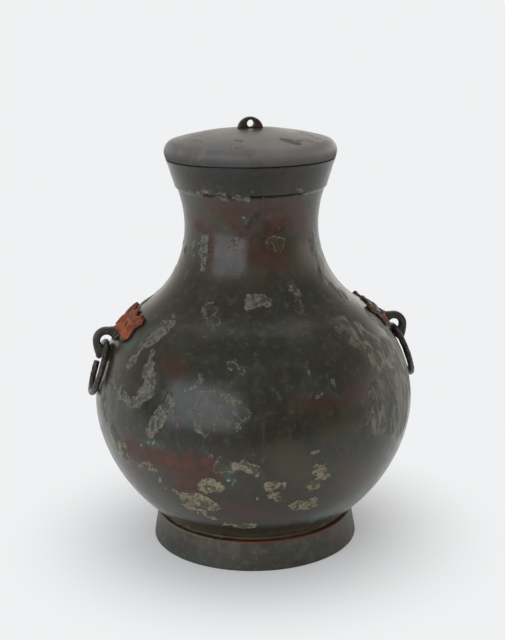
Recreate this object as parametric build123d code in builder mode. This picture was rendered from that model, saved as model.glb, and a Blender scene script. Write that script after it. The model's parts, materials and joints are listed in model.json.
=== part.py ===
from build123d import *
import os
from math import atan2, cos, degrees, hypot, radians, sin, sqrt, tan

# A lidded bronze hu: a round-bellied wine vessel on a soldered foot ring, with a flared neck,
# a fitted lid that carries a loop, and two beast-mask handles that each hold a loose ring.
# Millimetres, +Z up, origin under the middle of the foot, handles along X.

# Body
BELLY_RADIUS = 138.5
BELLY_HEIGHT = 128.0  # height of the widest place
BELLY_ARC = 100.0  # radius of the arc through belly and shoulder
LOWER_ARC = 136.0  # radius of the arc that runs in below the belly
LOWER_START = 16.0  # degrees below the widest place where the lower arc takes over
BOTTOM_ARC = 40.0  # radius of the turn into the flat bottom
BOTTOM_HEIGHT = 12.0
THROAT_RADIUS = 57.5
THROAT_HEIGHT = 280.0
FLARE_ARC = 95.0  # radius of the turn from the throat into the straight flare
FLARE_ANGLE = 17.0
MOUTH_HEIGHT = 336.0
WALL = 3.0
BAND_HEIGHT = 24.0  # raised band round the mouth
BAND_RELIEF = 1.4

# Foot ring and the solder that holds it
FOOT_HEIGHT = 25.0
FOOT_LEDGE = 6.5  # width of the foot's top outside the seam
FOOT_FLARE = 4.3  # how much wider the base is than the top
FOOT_WALL = 4.5
FOOT_EDGE = 1.2  # rounding of the outer edges
SEAT_WIDTH = 3.2  # how far the flange reaches in under the body
FLANGE_THICKNESS = 3.0
SOLDER_GAP = 0.1
BEAD_WIDTH = 3.2

# Lid
LID_CROWN = 25.0  # height of the crown above the mouth
LID_SPREAD = 3.7  # how much wider the lid's shoulder is than the mouth
LID_ROUND = 8.0
LID_WALL = 3.0
DOME_RADIUS = 250.0
SPIGOT_DEPTH = 12.0
SPIGOT_WALL = 2.5
SPIGOT_CLEARANCE = 0.8

# Loop on the lid
LOOP_WIDTH = 22.0
LOOP_THICKNESS = 6.5
LOOP_ROUND = 1.6
LOOP_EYE = 3.0  # radius of the hole
LOOP_EYE_LIFT = 0.7  # hole's lowest point above the crown
LOOP_EYE_EDGE = 0.4
LOOP_TOP_WALL = 2.4
LOOP_ROOT = 2.0  # how far the arch is drawn below the crown before it is cut to the dome
LEG_RADIUS = 2.2
LEG_OFFSET = 7.4
LEG_CLEARANCE = 0.1
PEEN_OVERLAP = 1.6  # how far a peened end reaches past its shank
PEEN_HEIGHT = 1.8
SEAT_GAP = 0.05  # between a fixed piece and the curved wall that it sits on

# Beast masks, drawn flat on a plane that touches the shoulder, x across and y up the shoulder
MASK_ANGLE = 44.0  # degrees up the shoulder arc to the mask's middle
MASK_FACE = [  # one side of the outline, from the snout round cheek and horn to the crest
    (8, -15),
    (12, -8),
    (25, -10.5),
    (32, -3),
    (28.5, 6),
    (32, 14),
    (24, 18),
    (13, 13),
    (5, 14),
]
MASK_CREST = 19.0
MASK_CORNER = 1.8
MASK_PLATE = 2.2  # height of the plate above the wall
MASK_RELIEF = 3.6  # height of the scrolls above the wall
MASK_REACH = 20.0  # how far the flat outlines are pushed before they are cut to the shoulder
HORN = ((22.5, 11.5), 5.2, -170, 250)  # middle, radius, start and sweep of a scroll, in degrees
CHEEK = ((23.5, -4.5), 3.6, -60, 230)
BROW_START = 10.0
BROW_SWEEP = 170.0
SCROLL_WIDTH = 3.4
EYEBALL_RADIUS = 4.0
EYEBALL_PLACE = (12.5, -1.0)
EYEBALL_RELIEF = 4.6
TENON_RADIUS = 4.0
TENON_CLEARANCE = 0.1

# Curled nose that carries the ring
NOSE_ANGLE = 32.3  # degrees up the shoulder arc to the middle of the eye
NOSE_STANDOFF = 4.9  # eye's middle out from the wall
NOSE_EYE = 5.2
NOSE_RADIUS = 11.6
NOSE_WIDTH = 7.0
NOSE_TIP_OUT = 7.6
NOSE_TIP_DROP = 16.5
NOSE_TIP_ROUND = 1.6
NOSE_LIP = 5.2  # thickness under the eye
NOSE_CURL = 100.0  # degrees of round curl from the front to the bridge
NOSE_HEEL = 6.0  # degrees below the eye where the curl meets the wall
NOSE_ROOT = 8.0  # how far the outline is drawn into the wall before it is cut to the shoulder
NOSE_ROUND = 1.5
BRIDGE_ANGLE = 39.5
BRIDGE_RELIEF = 6.2

# Rings
RING_RADIUS = 22.5
RING_WIRE = 2.8
RING_REST_GAP = 0.3
RING_WALL_GAP = 0.4
RING_JOINT_ANGLE = 88.0  # where the open ring's joint lies, round from the top
RING_JOINT_GAP = 3.0
RING_END_ROUND = 1.2
LEAN_STEP = 0.1  # degrees
RING_STEPS = 72  # places round the wire where its gap is measured

# Centres and tangent angles of the meridian, in radius and height
lower_turn = radians(LOWER_START)
flare_turn = radians(FLARE_ANGLE)
belly_centre = (BELLY_RADIUS - BELLY_ARC, BELLY_HEIGHT)
lower_centre = (
    belly_centre[0] - (LOWER_ARC - BELLY_ARC) * cos(lower_turn),
    belly_centre[1] + (LOWER_ARC - BELLY_ARC) * sin(lower_turn),
)
bottom_rise = BOTTOM_HEIGHT + BOTTOM_ARC - lower_centre[1]
bottom_centre = (
    lower_centre[0] + sqrt((LOWER_ARC - BOTTOM_ARC) ** 2 - bottom_rise**2),
    BOTTOM_HEIGHT + BOTTOM_ARC,
)
narrowing = BELLY_RADIUS - THROAT_RADIUS
neck_arc = (narrowing**2 + (THROAT_HEIGHT - BELLY_HEIGHT) ** 2) / (2 * narrowing) - BELLY_ARC
neck_centre = (THROAT_RADIUS + neck_arc, THROAT_HEIGHT)
flare_centre = (THROAT_RADIUS + FLARE_ARC, THROAT_HEIGHT)


def heading(start, end):
    """Direction from one point of the meridian plane to another, in degrees."""
    return degrees(atan2(end[1] - start[1], end[0] - start[0]))


bottom_angle = heading(lower_centre, bottom_centre)
shoulder_angle = heading(belly_centre, neck_centre)


def shoulder_lines(inset, start=-LOWER_START):
    """Belly and neck arcs up to the throat, moved into the wall by inset."""
    CenterArc(belly_centre, BELLY_ARC - inset, start, shoulder_angle - start)
    CenterArc(neck_centre, neck_arc + inset, shoulder_angle + 180, -shoulder_angle)


def lower_lines(inset):
    """The turn out of the flat bottom and the lower belly, moved into the wall by inset."""
    CenterArc(bottom_centre, BOTTOM_ARC - inset, -90, bottom_angle + 90)
    CenterArc(lower_centre, LOWER_ARC - inset, bottom_angle, -LOWER_START - bottom_angle)


def flare_start(inset):
    """Where the arc above the throat runs into the straight flare."""
    reach = FLARE_ARC + inset
    return (flare_centre[0] - reach * cos(flare_turn), THROAT_HEIGHT + reach * sin(flare_turn))


def flare_end(inset):
    """A point of the straight flare far past the mouth, where the drawn wall ends before it is cut."""
    start = flare_start(inset)
    return (start[0] + MOUTH_HEIGHT * sin(flare_turn), start[1] + MOUTH_HEIGHT * cos(flare_turn))


def neck_lines(inset, start=-LOWER_START):
    """Belly, shoulder, throat and flare, drawn past the mouth and moved into the wall by inset."""
    shoulder_lines(inset, start)
    CenterArc(flare_centre, FLARE_ARC + inset, 180, -FLARE_ANGLE)
    Line(flare_start(inset), flare_end(inset))


def neck_radius(height, inset):
    """Radius of the wall at a height above the throat, moved into the wall by inset."""
    start = flare_start(inset)
    if height > start[1]:
        return start[0] + (height - start[1]) * tan(flare_turn)
    return flare_centre[0] - sqrt((FLARE_ARC + inset) ** 2 - (height - THROAT_HEIGHT) ** 2)


def lower_radius(height, outset):
    """Radius of the lower belly at a height, moved out of the wall by outset."""
    return lower_centre[0] + sqrt((LOWER_ARC + outset) ** 2 - (lower_centre[1] - height) ** 2)


def lower_height(radius, outset):
    """Height of the lower belly at a radius, moved out of the wall by outset."""
    return lower_centre[1] - sqrt((LOWER_ARC + outset) ** 2 - (radius - lower_centre[0]) ** 2)


def shoulder_point(angle, outset):
    """Radius and height of a point up the shoulder arc, outset from the wall."""
    reach = BELLY_ARC + outset
    turn = radians(angle)
    return (belly_centre[0] + reach * cos(turn), belly_centre[1] + reach * sin(turn))


# Handle planes: the mask's own plane on the shoulder, and the upright plane of the curled nose
mask_radius, mask_height = shoulder_point(MASK_ANGLE, 0)
mask_normal = (cos(radians(MASK_ANGLE)), sin(radians(MASK_ANGLE)))
right_mask_plane = Plane((mask_radius, 0, mask_height), (0, 1, 0), (mask_normal[0], 0, mask_normal[1]))
left_mask_plane = Plane((-mask_radius, 0, mask_height), (0, -1, 0), (-mask_normal[0], 0, mask_normal[1]))
nose_radius, nose_height = shoulder_point(NOSE_ANGLE, NOSE_STANDOFF)
nose_plane = Plane((nose_radius, 0, nose_height), (1, 0, 0), (0, -1, 0))

# Vessel body: the wall's section and the band's turned round the axis and cut level at the mouth,
# with a hole for each mask's tenon
band_foot = MOUTH_HEIGHT - BAND_HEIGHT
mouth_radius = neck_radius(MOUTH_HEIGHT, -BAND_RELIEF)
bore_radius = neck_radius(MOUTH_HEIGHT, WALL)
tenon_hole = TENON_RADIUS + TENON_CLEARANCE

with BuildPart() as vessel_body:
    with BuildSketch(Plane.XZ):
        with BuildLine():
            lower_lines(0)
            neck_lines(0)
            Line(flare_end(0), flare_end(WALL))
            neck_lines(WALL)
            lower_lines(WALL)
            Polyline(
                (bottom_centre[0], BOTTOM_HEIGHT + WALL),
                (0, BOTTOM_HEIGHT + WALL),
                (0, BOTTOM_HEIGHT),
                (bottom_centre[0], BOTTOM_HEIGHT),
            )
        make_face()
    revolve(axis=Axis.Z)
    with BuildSketch(Plane.XZ):
        with BuildLine():
            neck_lines(-BAND_RELIEF, 0)
            neck_lines(WALL / 2, 0)
            Line((BELLY_RADIUS + BAND_RELIEF, BELLY_HEIGHT), (BELLY_RADIUS - WALL / 2, BELLY_HEIGHT))
            Line(flare_end(-BAND_RELIEF), flare_end(WALL / 2))
        make_face()
        with Locations((0, band_foot)):
            Rectangle(2 * MOUTH_HEIGHT, 2 * MOUTH_HEIGHT, align=Align.MIN, mode=Mode.INTERSECT)
    revolve(axis=Axis.Z)
    split(bisect_by=Plane.XY.offset(MOUTH_HEIGHT), keep=Keep.BOTTOM)
    for mask_plane in (left_mask_plane, right_mask_plane):
        with BuildSketch(mask_plane):
            Circle(tenon_hole)
        extrude(amount=2 * WALL, both=True, mode=Mode.SUBTRACT)

# Foot ring: a flared wall with a flange whose inner corner is cut to the body's curve
seam_radius = lower_radius(FOOT_HEIGHT, SOLDER_GAP)
foot_top = seam_radius + FOOT_LEDGE
foot_base = foot_top + FOOT_FLARE
flange_radius = seam_radius - SEAT_WIDTH
flange_top = lower_height(flange_radius, SOLDER_GAP)
flange_foot = flange_top - FLANGE_THICKNESS
seam_angle = heading(lower_centre, (seam_radius, FOOT_HEIGHT))
flange_angle = heading(lower_centre, (flange_radius, flange_top))

with BuildPart() as foot_ring:
    with BuildSketch(Plane.XZ):
        with BuildLine():
            CenterArc(lower_centre, LOWER_ARC + SOLDER_GAP, flange_angle, seam_angle - flange_angle)
            Polyline(
                (seam_radius, FOOT_HEIGHT),
                (foot_top, FOOT_HEIGHT),
                (foot_base, 0),
                (foot_base - FOOT_WALL, 0),
                (foot_base - FOOT_WALL - FOOT_FLARE * flange_foot / FOOT_HEIGHT, flange_foot),
                (flange_radius, flange_foot),
                (flange_radius, flange_top),
            )
        make_face()
    revolve(axis=Axis.Z)
    foot_circles = foot_ring.edges().filter_by(Plane.XY).group_by(Axis.Z)
    fillet([level.sort_by(SortBy.RADIUS)[-1] for level in (foot_circles[0], foot_circles[-1])], FOOT_EDGE)

# Solder bead in the crease between the foot's top and the belly
bead_radius = seam_radius + BEAD_WIDTH
bead_top = lower_height(bead_radius, SOLDER_GAP)
bead_angle = heading(lower_centre, (bead_radius, bead_top))

with BuildPart() as foot_solder:
    with BuildSketch(Plane.XZ):
        with BuildLine():
            CenterArc(lower_centre, LOWER_ARC + SOLDER_GAP, seam_angle, bead_angle - seam_angle)
            Polyline((bead_radius, bead_top), (bead_radius, FOOT_HEIGHT), (seam_radius, FOOT_HEIGHT))
        make_face()
    revolve(axis=Axis.Z)

# Lid: a domed plate with a leaning side and a spigot that follows the mouth's inner wall
crown_height = MOUTH_HEIGHT + LID_CROWN
dome_centre = (0, crown_height - DOME_RADIUS)
lid_radius = mouth_radius + LID_SPREAD
spigot_foot = MOUTH_HEIGHT - SPIGOT_DEPTH
spigot_top_radius = bore_radius - SPIGOT_CLEARANCE
spigot_foot_radius = neck_radius(spigot_foot, WALL) - SPIGOT_CLEARANCE
hollow_radius = spigot_top_radius - SPIGOT_WALL


def dome_height(radius, inset=0.0):
    """Height of the lid's dome at a radius, moved into the wall by inset."""
    return dome_centre[1] + sqrt((DOME_RADIUS - inset) ** 2 - radius**2)


dome_angle = heading(dome_centre, (lid_radius, dome_height(lid_radius)))
hollow_height = dome_height(hollow_radius, LID_WALL)
hollow_angle = heading(dome_centre, (hollow_radius, hollow_height))

with BuildPart() as lid:
    with BuildSketch(Plane.XZ):
        with BuildLine():
            CenterArc(dome_centre, DOME_RADIUS, dome_angle, 90 - dome_angle)
            Line((0, crown_height), (0, crown_height - LID_WALL))
            CenterArc(dome_centre, DOME_RADIUS - LID_WALL, hollow_angle, 90 - hollow_angle)
            Polyline(
                (hollow_radius, hollow_height),
                (hollow_radius, MOUTH_HEIGHT),
                (spigot_foot_radius - SPIGOT_WALL, spigot_foot),
                (spigot_foot_radius, spigot_foot),
                (spigot_top_radius, MOUTH_HEIGHT),
                (mouth_radius, MOUTH_HEIGHT),
                (lid_radius, dome_height(lid_radius)),
            )
        make_face()
    revolve(axis=Axis.Z)
    fillet(lid.edges().filter_by(Plane.XY).sort_by(SortBy.RADIUS)[-1], LID_ROUND)
    with Locations((-LEG_OFFSET, 0, crown_height), (LEG_OFFSET, 0, crown_height)):
        Hole(LEG_RADIUS + LEG_CLEARANCE, depth=2 * LID_WALL)

# Loop: an arched lug with an eye, cut to the dome, on two legs that are peened under the crown
loop_eye_height = crown_height + LOOP_EYE_LIFT + LOOP_EYE
loop_top = loop_eye_height + LOOP_EYE + LOOP_TOP_WALL
loop_base = crown_height - LOOP_ROOT
leg_peen = LEG_RADIUS + PEEN_OVERLAP
peen_top = dome_height(LEG_OFFSET + leg_peen, LID_WALL) - SEAT_GAP

with BuildPart() as lid_loop:
    with BuildSketch(Plane.XZ):
        with BuildLine():
            arch = ThreePointArc((-LOOP_WIDTH / 2, loop_base), (0, loop_top), (LOOP_WIDTH / 2, loop_base))
            Line(arch @ 0, arch @ 1)
        make_face()
    extrude(amount=LOOP_THICKNESS / 2, both=True)
    fillet(lid_loop.edges().filter_by(GeomType.CIRCLE), LOOP_ROUND)
    with Locations((0, *dome_centre)):
        Sphere(DOME_RADIUS + SEAT_GAP, rotation=(0, 90, 0), mode=Mode.SUBTRACT)
    with BuildSketch(Plane.XZ):
        with Locations((0, loop_eye_height)):
            Circle(LOOP_EYE)
    extrude(amount=LOOP_THICKNESS, both=True, mode=Mode.SUBTRACT)
    chamfer(lid_loop.edges(Select.LAST).filter_by(GeomType.CIRCLE), LOOP_EYE_EDGE)
    with Locations((-LEG_OFFSET, 0, peen_top), (LEG_OFFSET, 0, peen_top)):
        Cylinder(LEG_RADIUS, loop_eye_height - peen_top, align=(Align.CENTER, Align.CENTER, Align.MIN))
        Cylinder(leg_peen, PEEN_HEIGHT, align=(Align.CENTER, Align.CENTER, Align.MAX))

# Beast mask: fields drawn flat and laid on the shoulder, each kept between two distances from the wall


def scroll(side, centre, radius, start, sweep):
    """A raised scroll of even width, on the right of the face for side 1 and mirrored for side -1."""
    with BuildLine() as spine:
        CenterArc((side * centre[0], centre[1]), radius, start if side > 0 else 180 - start, side * sweep)
    SlotArc(spine.edges()[0], SCROLL_WIDTH)


def mask_plate():
    """Outline of the whole face: snout, cheeks, horns and crest."""
    with BuildLine() as outline:
        Polyline(*MASK_FACE, (0, MASK_CREST), *[(-x, y) for x, y in reversed(MASK_FACE)], close=True)
    make_face(outline.edges())
    fillet(vertices(), MASK_CORNER)


def mask_scrolls():
    """Raised scrolls: horns, cheeks and brows, alike on both sides."""
    for side in (-1, 1):
        scroll(side, *HORN)
        scroll(side, *CHEEK)
        scroll(side, EYEBALL_PLACE, EYEBALL_RADIUS + SCROLL_WIDTH, BROW_START, BROW_SWEEP)


def mask_eyeballs():
    """The two round eyes."""
    with Locations((-EYEBALL_PLACE[0], EYEBALL_PLACE[1]), EYEBALL_PLACE):
        Circle(EYEBALL_RADIUS)


def mask_tenon():
    """The shank that passes through the wall."""
    Circle(TENON_RADIUS)


def mask_peen():
    """The spread end of the shank inside the vessel."""
    Circle(TENON_RADIUS + PEEN_OVERLAP)


def shoulder_field(draw, low, high):
    """An outline on the mask's plane, kept between two distances from the outside of the shoulder."""
    with BuildPart() as field:
        with BuildSketch(right_mask_plane):
            draw()
        extrude(amount=MASK_REACH, both=True)
        with BuildSketch(Plane.XZ):
            with BuildLine():
                shoulder_lines(-low, 0)
                shoulder_lines(-high, 0)
                Line((BELLY_RADIUS + low, BELLY_HEIGHT), (BELLY_RADIUS + high, BELLY_HEIGHT))
                Line((THROAT_RADIUS + low, THROAT_HEIGHT), (THROAT_RADIUS + high, THROAT_HEIGHT))
            make_face()
        revolve(axis=Axis.Z, mode=Mode.INTERSECT)
    return field.part


def from_eye(angle, outset):
    """A point up the shoulder arc, measured from the middle of the nose's eye."""
    point = shoulder_point(angle, outset)
    return (point[0] - nose_radius, point[1] - nose_height)


nose_tip = (NOSE_TIP_OUT, -NOSE_TIP_DROP)
nose_under = (0, -NOSE_EYE - NOSE_LIP)

with BuildPart() as nose:
    with BuildSketch(nose_plane):
        with BuildLine():
            curl = CenterArc((0, 0), NOSE_RADIUS, 0, NOSE_CURL)
            TangentArc(curl @ 0, nose_tip, tangent=(0, -1))
            Polyline(
                nose_tip,
                nose_under,
                from_eye(NOSE_ANGLE - NOSE_HEEL, -NOSE_ROOT),
                from_eye(MASK_ANGLE, -NOSE_ROOT),
                from_eye(MASK_ANGLE, MASK_RELIEF),
                from_eye(BRIDGE_ANGLE, BRIDGE_RELIEF),
                curl @ 1,
            )
        make_face()
        fillet(vertices().sort_by(Axis.Y)[0], NOSE_TIP_ROUND)
        Circle(NOSE_EYE, mode=Mode.SUBTRACT)
    extrude(amount=NOSE_WIDTH / 2, both=True)
    nose_sides = nose.faces().filter_by(Axis.Y)
    fillet([edge for side in nose_sides for edge in side.outer_wire().edges()], NOSE_ROUND)
    nose_sides = nose.faces().filter_by(Axis.Y)
    chamfer([edge for side in nose_sides for edge in side.inner_wires().edges()], NOSE_ROUND)
    with BuildSketch(Plane.XZ):
        with BuildLine():
            shoulder_lines(-SEAT_GAP, 0)
            Polyline(
                (BELLY_RADIUS + SEAT_GAP, BELLY_HEIGHT),
                (0, BELLY_HEIGHT),
                (0, THROAT_HEIGHT),
                (THROAT_RADIUS + SEAT_GAP, THROAT_HEIGHT),
            )
        make_face()
    revolve(axis=Axis.Z, mode=Mode.SUBTRACT)

mask_fields = (
    shoulder_field(mask_plate, SEAT_GAP, MASK_PLATE),
    shoulder_field(mask_scrolls, SEAT_GAP, MASK_RELIEF),
    shoulder_field(mask_eyeballs, SEAT_GAP, EYEBALL_RELIEF),
    shoulder_field(mask_tenon, -WALL - SEAT_GAP - PEEN_HEIGHT, MASK_PLATE),
    shoulder_field(mask_peen, -WALL - SEAT_GAP - PEEN_HEIGHT, -WALL - SEAT_GAP),
)

with BuildPart() as right_mask:
    add(nose.part)
    for mask_field in mask_fields:
        add(mask_field)

with BuildPart() as left_mask:
    mirror(right_mask.part, about=Plane.YZ)

# Rings: each hangs in its eye and leans out until the wire clears the belly
ring_pivot = (nose_radius, nose_height - (NOSE_EYE - RING_WIRE - RING_REST_GAP))


def wall_gap(lean):
    """Least gap between the belly and the wire of a ring that leans out by an angle in degrees."""
    out, down = sin(radians(lean)), cos(radians(lean))
    gaps = []
    for step in range(RING_STEPS):
        turn = radians(360 * step / RING_STEPS)
        drop = RING_RADIUS * (1 - cos(turn))
        radius = hypot(ring_pivot[0] + drop * out, RING_RADIUS * sin(turn))
        height = ring_pivot[1] - drop * down
        gaps.append(hypot(radius - belly_centre[0], height - belly_centre[1]) - BELLY_ARC - RING_WIRE)
    return min(gaps)


ring_lean = 0.0
while wall_gap(ring_lean) < RING_WALL_GAP:
    ring_lean += LEAN_STEP

ring_up = Vector(-sin(radians(ring_lean)), 0, cos(radians(ring_lean)))
ring_side = Vector(0, 1, 0)
ring_middle = Vector(ring_pivot[0], 0, ring_pivot[1]) - ring_up * RING_RADIUS
ring_axis = Axis(ring_middle, ring_up.cross(ring_side))


def wire_plane(turn):
    """Plane across the wire, round from the top of the ring towards +Y by an angle in degrees."""
    spoke = ring_up * cos(radians(turn)) + ring_side * sin(radians(turn))
    return Plane(ring_middle + spoke * RING_RADIUS, spoke, ring_axis.direction.cross(spoke))


with BuildPart() as right_ring:
    with BuildSketch(wire_plane(0)):
        Circle(RING_WIRE)
    revolve(axis=ring_axis)

joint_turn = degrees(RING_JOINT_GAP / RING_RADIUS)

with BuildPart() as open_ring:
    with BuildSketch(wire_plane(RING_JOINT_ANGLE + joint_turn / 2)):
        Circle(RING_WIRE)
    revolve(axis=ring_axis, revolution_arc=360 - joint_turn)
    fillet(open_ring.faces().filter_by(GeomType.PLANE).edges(), RING_END_ROUND)

with BuildPart() as left_ring:
    mirror(open_ring.part, about=Plane.YZ)

print(f"total height {loop_top:.2f}, belly {2 * BELLY_RADIUS:.1f}, mouth {2 * mouth_radius:.2f}")
print(f"foot {2 * foot_base:.2f} across the base, seam radius {seam_radius:.2f}")
print(f"ring pivot radius {ring_pivot[0]:.3f} height {ring_pivot[1]:.3f}, lean {ring_lean:.2f} degrees")
print(f"lid eye height {loop_eye_height:.3f}, mask middle {mask_radius:.2f} {mask_height:.2f}")

os.makedirs("parts", exist_ok=True)
vessel_body.part.label = "vessel_body"
export_step(vessel_body.part, "parts/vessel_body.step")
foot_ring.part.label = "foot_ring"
export_step(foot_ring.part, "parts/foot_ring.step")
foot_solder.part.label = "foot_solder"
export_step(foot_solder.part, "parts/foot_solder.step")
lid.part.label = "lid"
export_step(lid.part, "parts/lid.step")
lid_loop.part.label = "lid_loop"
export_step(lid_loop.part, "parts/lid_loop.step")
left_mask.part.label = "left_mask"
export_step(left_mask.part, "parts/left_mask.step")
right_mask.part.label = "right_mask"
export_step(right_mask.part, "parts/right_mask.step")
left_ring.part.label = "left_ring"
export_step(left_ring.part, "parts/left_ring.step")
right_ring.part.label = "right_ring"
export_step(right_ring.part, "parts/right_ring.step")
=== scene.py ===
# %% [markdown]
# # A lidded bronze hu
# An ancient bronze wine vessel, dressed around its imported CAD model. The CAD holds the sizes and the
# joints. Here every piece gets a finer mesh and a finish made of nodes: a cast skin under a dark
# patina, and on it the crusts, red oxide and green salts that long burial leaves.

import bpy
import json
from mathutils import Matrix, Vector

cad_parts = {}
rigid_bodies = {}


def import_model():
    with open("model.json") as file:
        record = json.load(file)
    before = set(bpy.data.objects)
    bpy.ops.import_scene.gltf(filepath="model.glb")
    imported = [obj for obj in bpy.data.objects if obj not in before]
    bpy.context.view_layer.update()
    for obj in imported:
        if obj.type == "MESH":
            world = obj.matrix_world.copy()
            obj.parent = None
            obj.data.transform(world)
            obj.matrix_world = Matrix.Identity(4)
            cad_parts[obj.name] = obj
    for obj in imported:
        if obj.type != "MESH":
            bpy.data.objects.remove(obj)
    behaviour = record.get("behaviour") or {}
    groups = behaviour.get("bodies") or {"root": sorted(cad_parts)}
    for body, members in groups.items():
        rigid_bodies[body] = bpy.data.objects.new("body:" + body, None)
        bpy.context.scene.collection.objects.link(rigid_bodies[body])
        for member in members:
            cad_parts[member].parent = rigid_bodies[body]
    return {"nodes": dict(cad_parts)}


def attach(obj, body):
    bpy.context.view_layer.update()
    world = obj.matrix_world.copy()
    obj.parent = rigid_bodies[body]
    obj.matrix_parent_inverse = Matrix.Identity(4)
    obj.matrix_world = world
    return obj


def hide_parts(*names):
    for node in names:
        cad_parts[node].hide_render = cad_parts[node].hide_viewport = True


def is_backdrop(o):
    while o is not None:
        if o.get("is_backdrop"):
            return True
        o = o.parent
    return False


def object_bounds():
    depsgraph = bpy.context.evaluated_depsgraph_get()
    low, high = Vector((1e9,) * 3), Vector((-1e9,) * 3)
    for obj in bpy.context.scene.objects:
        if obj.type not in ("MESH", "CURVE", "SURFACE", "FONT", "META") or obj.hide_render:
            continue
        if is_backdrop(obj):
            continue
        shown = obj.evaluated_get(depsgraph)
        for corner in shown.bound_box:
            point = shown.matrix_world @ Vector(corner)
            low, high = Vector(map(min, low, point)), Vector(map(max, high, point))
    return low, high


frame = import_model()
cad_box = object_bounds()

# %% [markdown]
# ## Camera
# The photograph looks slightly down on the vessel, from a little to its left, with a short telephoto
# lens. The camera could aim at an empty with a constraint, but three plain turns after one move keep
# the measured pitch and the small roll readable.

# %% Set up the camera
import json
from math import asin, atan2, cos, hypot, pi, radians, sin, sqrt, tan

import bmesh
import bpy
import numpy as np
from mathutils import Matrix, Vector, noise

MM = 0.001  # Blender counts in metres, the sizes below are in millimetres
VIEW_BEARING = radians(-10)  # round from the front, negative to the left
VIEW_DISTANCE = 1.036  # metres from the vessel's axis
VIEW_HEIGHT = 0.4614
VIEW_PITCH = radians(14.44)
VIEW_ROLL = radians(-0.69)
SENSOR_HEIGHT = 36
FOCAL_LENGTH = 69.11


def toward(bearing, height=0.0):
    """A level direction from the vessel, round from its front, lifted by a height."""
    return Vector((sin(bearing), -cos(bearing), height))


lens = bpy.data.cameras.new("photo_camera")
lens.sensor_fit = "VERTICAL"
lens.sensor_height = SENSOR_HEIGHT
lens.lens = FOCAL_LENGTH
camera = bpy.data.objects.new("photo_camera", lens)
bpy.context.collection.objects.link(camera)
stand = Matrix.Translation(toward(VIEW_BEARING) * VIEW_DISTANCE + Vector((0, 0, VIEW_HEIGHT)))
turn = Matrix.Rotation(VIEW_BEARING, 4, "Z")
pitch = Matrix.Rotation(pi / 2 - VIEW_PITCH, 4, "X")
camera.matrix_world = stand @ turn @ pitch @ Matrix.Rotation(VIEW_ROLL, 4, "Z")
bpy.context.scene.camera = camera
bpy.context.scene.view_settings.view_transform = "Standard"
print("camera at", [round(value, 3) for value in camera.matrix_world.translation])

# %% [markdown]
# ## Nodes and colours
# Every finish below is a small tree of nodes. One function adds a node, sets it up and links it, and
# one turns the sRGB hex colours that people pick into the linear values that a renderer adds up.


# %% Two helpers for all the finishes
def node(tree, kind, inputs=None, output=0, **settings):
    """Adds one shader node and gives back one of its outputs.

    inputs holds a value, or another node's output, for each socket that isn't left as it is.
    """
    made = tree.nodes.new("ShaderNode" + kind)
    for name, value in settings.items():
        setattr(made, name, value)
    for socket, value in (inputs or {}).items():
        if isinstance(value, bpy.types.NodeSocket):
            tree.links.new(value, made.inputs[socket])
        else:
            made.inputs[socket].default_value = value
    return made.outputs[output] if made.outputs else None


def linear(colour):
    """An sRGB hex colour as linear RGBA."""
    channels = [int(colour[place : place + 2], 16) / 255 for place in (1, 3, 5)]
    return (*[c / 12.92 if c <= 0.04045 else ((c + 0.055) / 1.055) ** 2.4 for c in channels], 1.0)


SMOOTH = {"interpolation_type": "SMOOTHSTEP"}
COLOUR = {"data_type": "RGBA"}
TIMES = {"operation": "MULTIPLY"}
print("middle grey is", [round(value, 3) for value in linear("#808080")])

# %% [markdown]
# ## Studio
# The vessel stands in a pale studio: bright walls behind and beside it, and a dim room behind the
# camera, so that its glossy skin goes dark in front and light at the edges. A world shader paints
# that room by direction. A large soft lamp to the left of the camera gives the long cool sheen on the
# neck and belly. Camera rays see one even pale tone instead of the room.

# %% Paint the room
ROOM_BRIGHT = 1.2
ROOM_DIM = 0.26
ROOM_CEILING = 0.42
ROOM_LEFT, ROOM_RIGHT = 0.65, 1.3  # share of the walls' light to either side
DIM_EDGE, BRIGHT_EDGE = 0.4, -0.25  # how far a direction agrees with the dim side, where walls change
SIDE_SPAN = 0.7  # how far across the light changes from left to right
CEILING_EDGE, CEILING_FULL = 0.02, 0.5  # upward part of a direction where the ceiling takes over
ROOM_TINT = "#fdfaf3"
DIM_SIDE = toward(radians(-15), 0.2).normalized()
BACKGROUND = "#f0f1f2"

world = bpy.data.worlds.new("studio")
bpy.context.scene.world = world
world.use_nodes = True
room = world.node_tree
room.nodes.clear()
direction = node(room, "TexCoord", output="Generated")
front = node(room, "VectorMath", {0: direction, 1: DIM_SIDE}, "Value", operation="DOT_PRODUCT")
fading = {0: front, 1: DIM_EDGE, 2: BRIGHT_EDGE, 3: ROOM_DIM, 4: ROOM_BRIGHT}
around = node(room, "MapRange", fading, **SMOOTH)
across = node(room, "SeparateXYZ", {0: direction}, "X")
slant = {0: across, 1: -SIDE_SPAN, 2: SIDE_SPAN, 3: ROOM_LEFT, 4: ROOM_RIGHT}
side = node(room, "MapRange", slant, **SMOOTH)
walled = node(room, "Math", {0: around, 1: side}, **TIMES)
rise = node(room, "SeparateXYZ", {0: direction}, "Z")
above = node(room, "MapRange", {0: rise, 1: CEILING_EDGE, 2: CEILING_FULL}, **SMOOTH)
level = node(room, "Mix", {0: above, 2: walled, 3: ROOM_CEILING})
walls = node(room, "Background", {"Color": linear(ROOM_TINT), "Strength": level})
backdrop = node(room, "Background", {"Color": linear(BACKGROUND)})
seen = node(room, "LightPath", output="Is Camera Ray")
node(room, "OutputWorld", {"Surface": node(room, "MixShader", {0: seen, 1: walls, 2: backdrop})})
print("room from", ROOM_DIM, "to", ROOM_BRIGHT)

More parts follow.
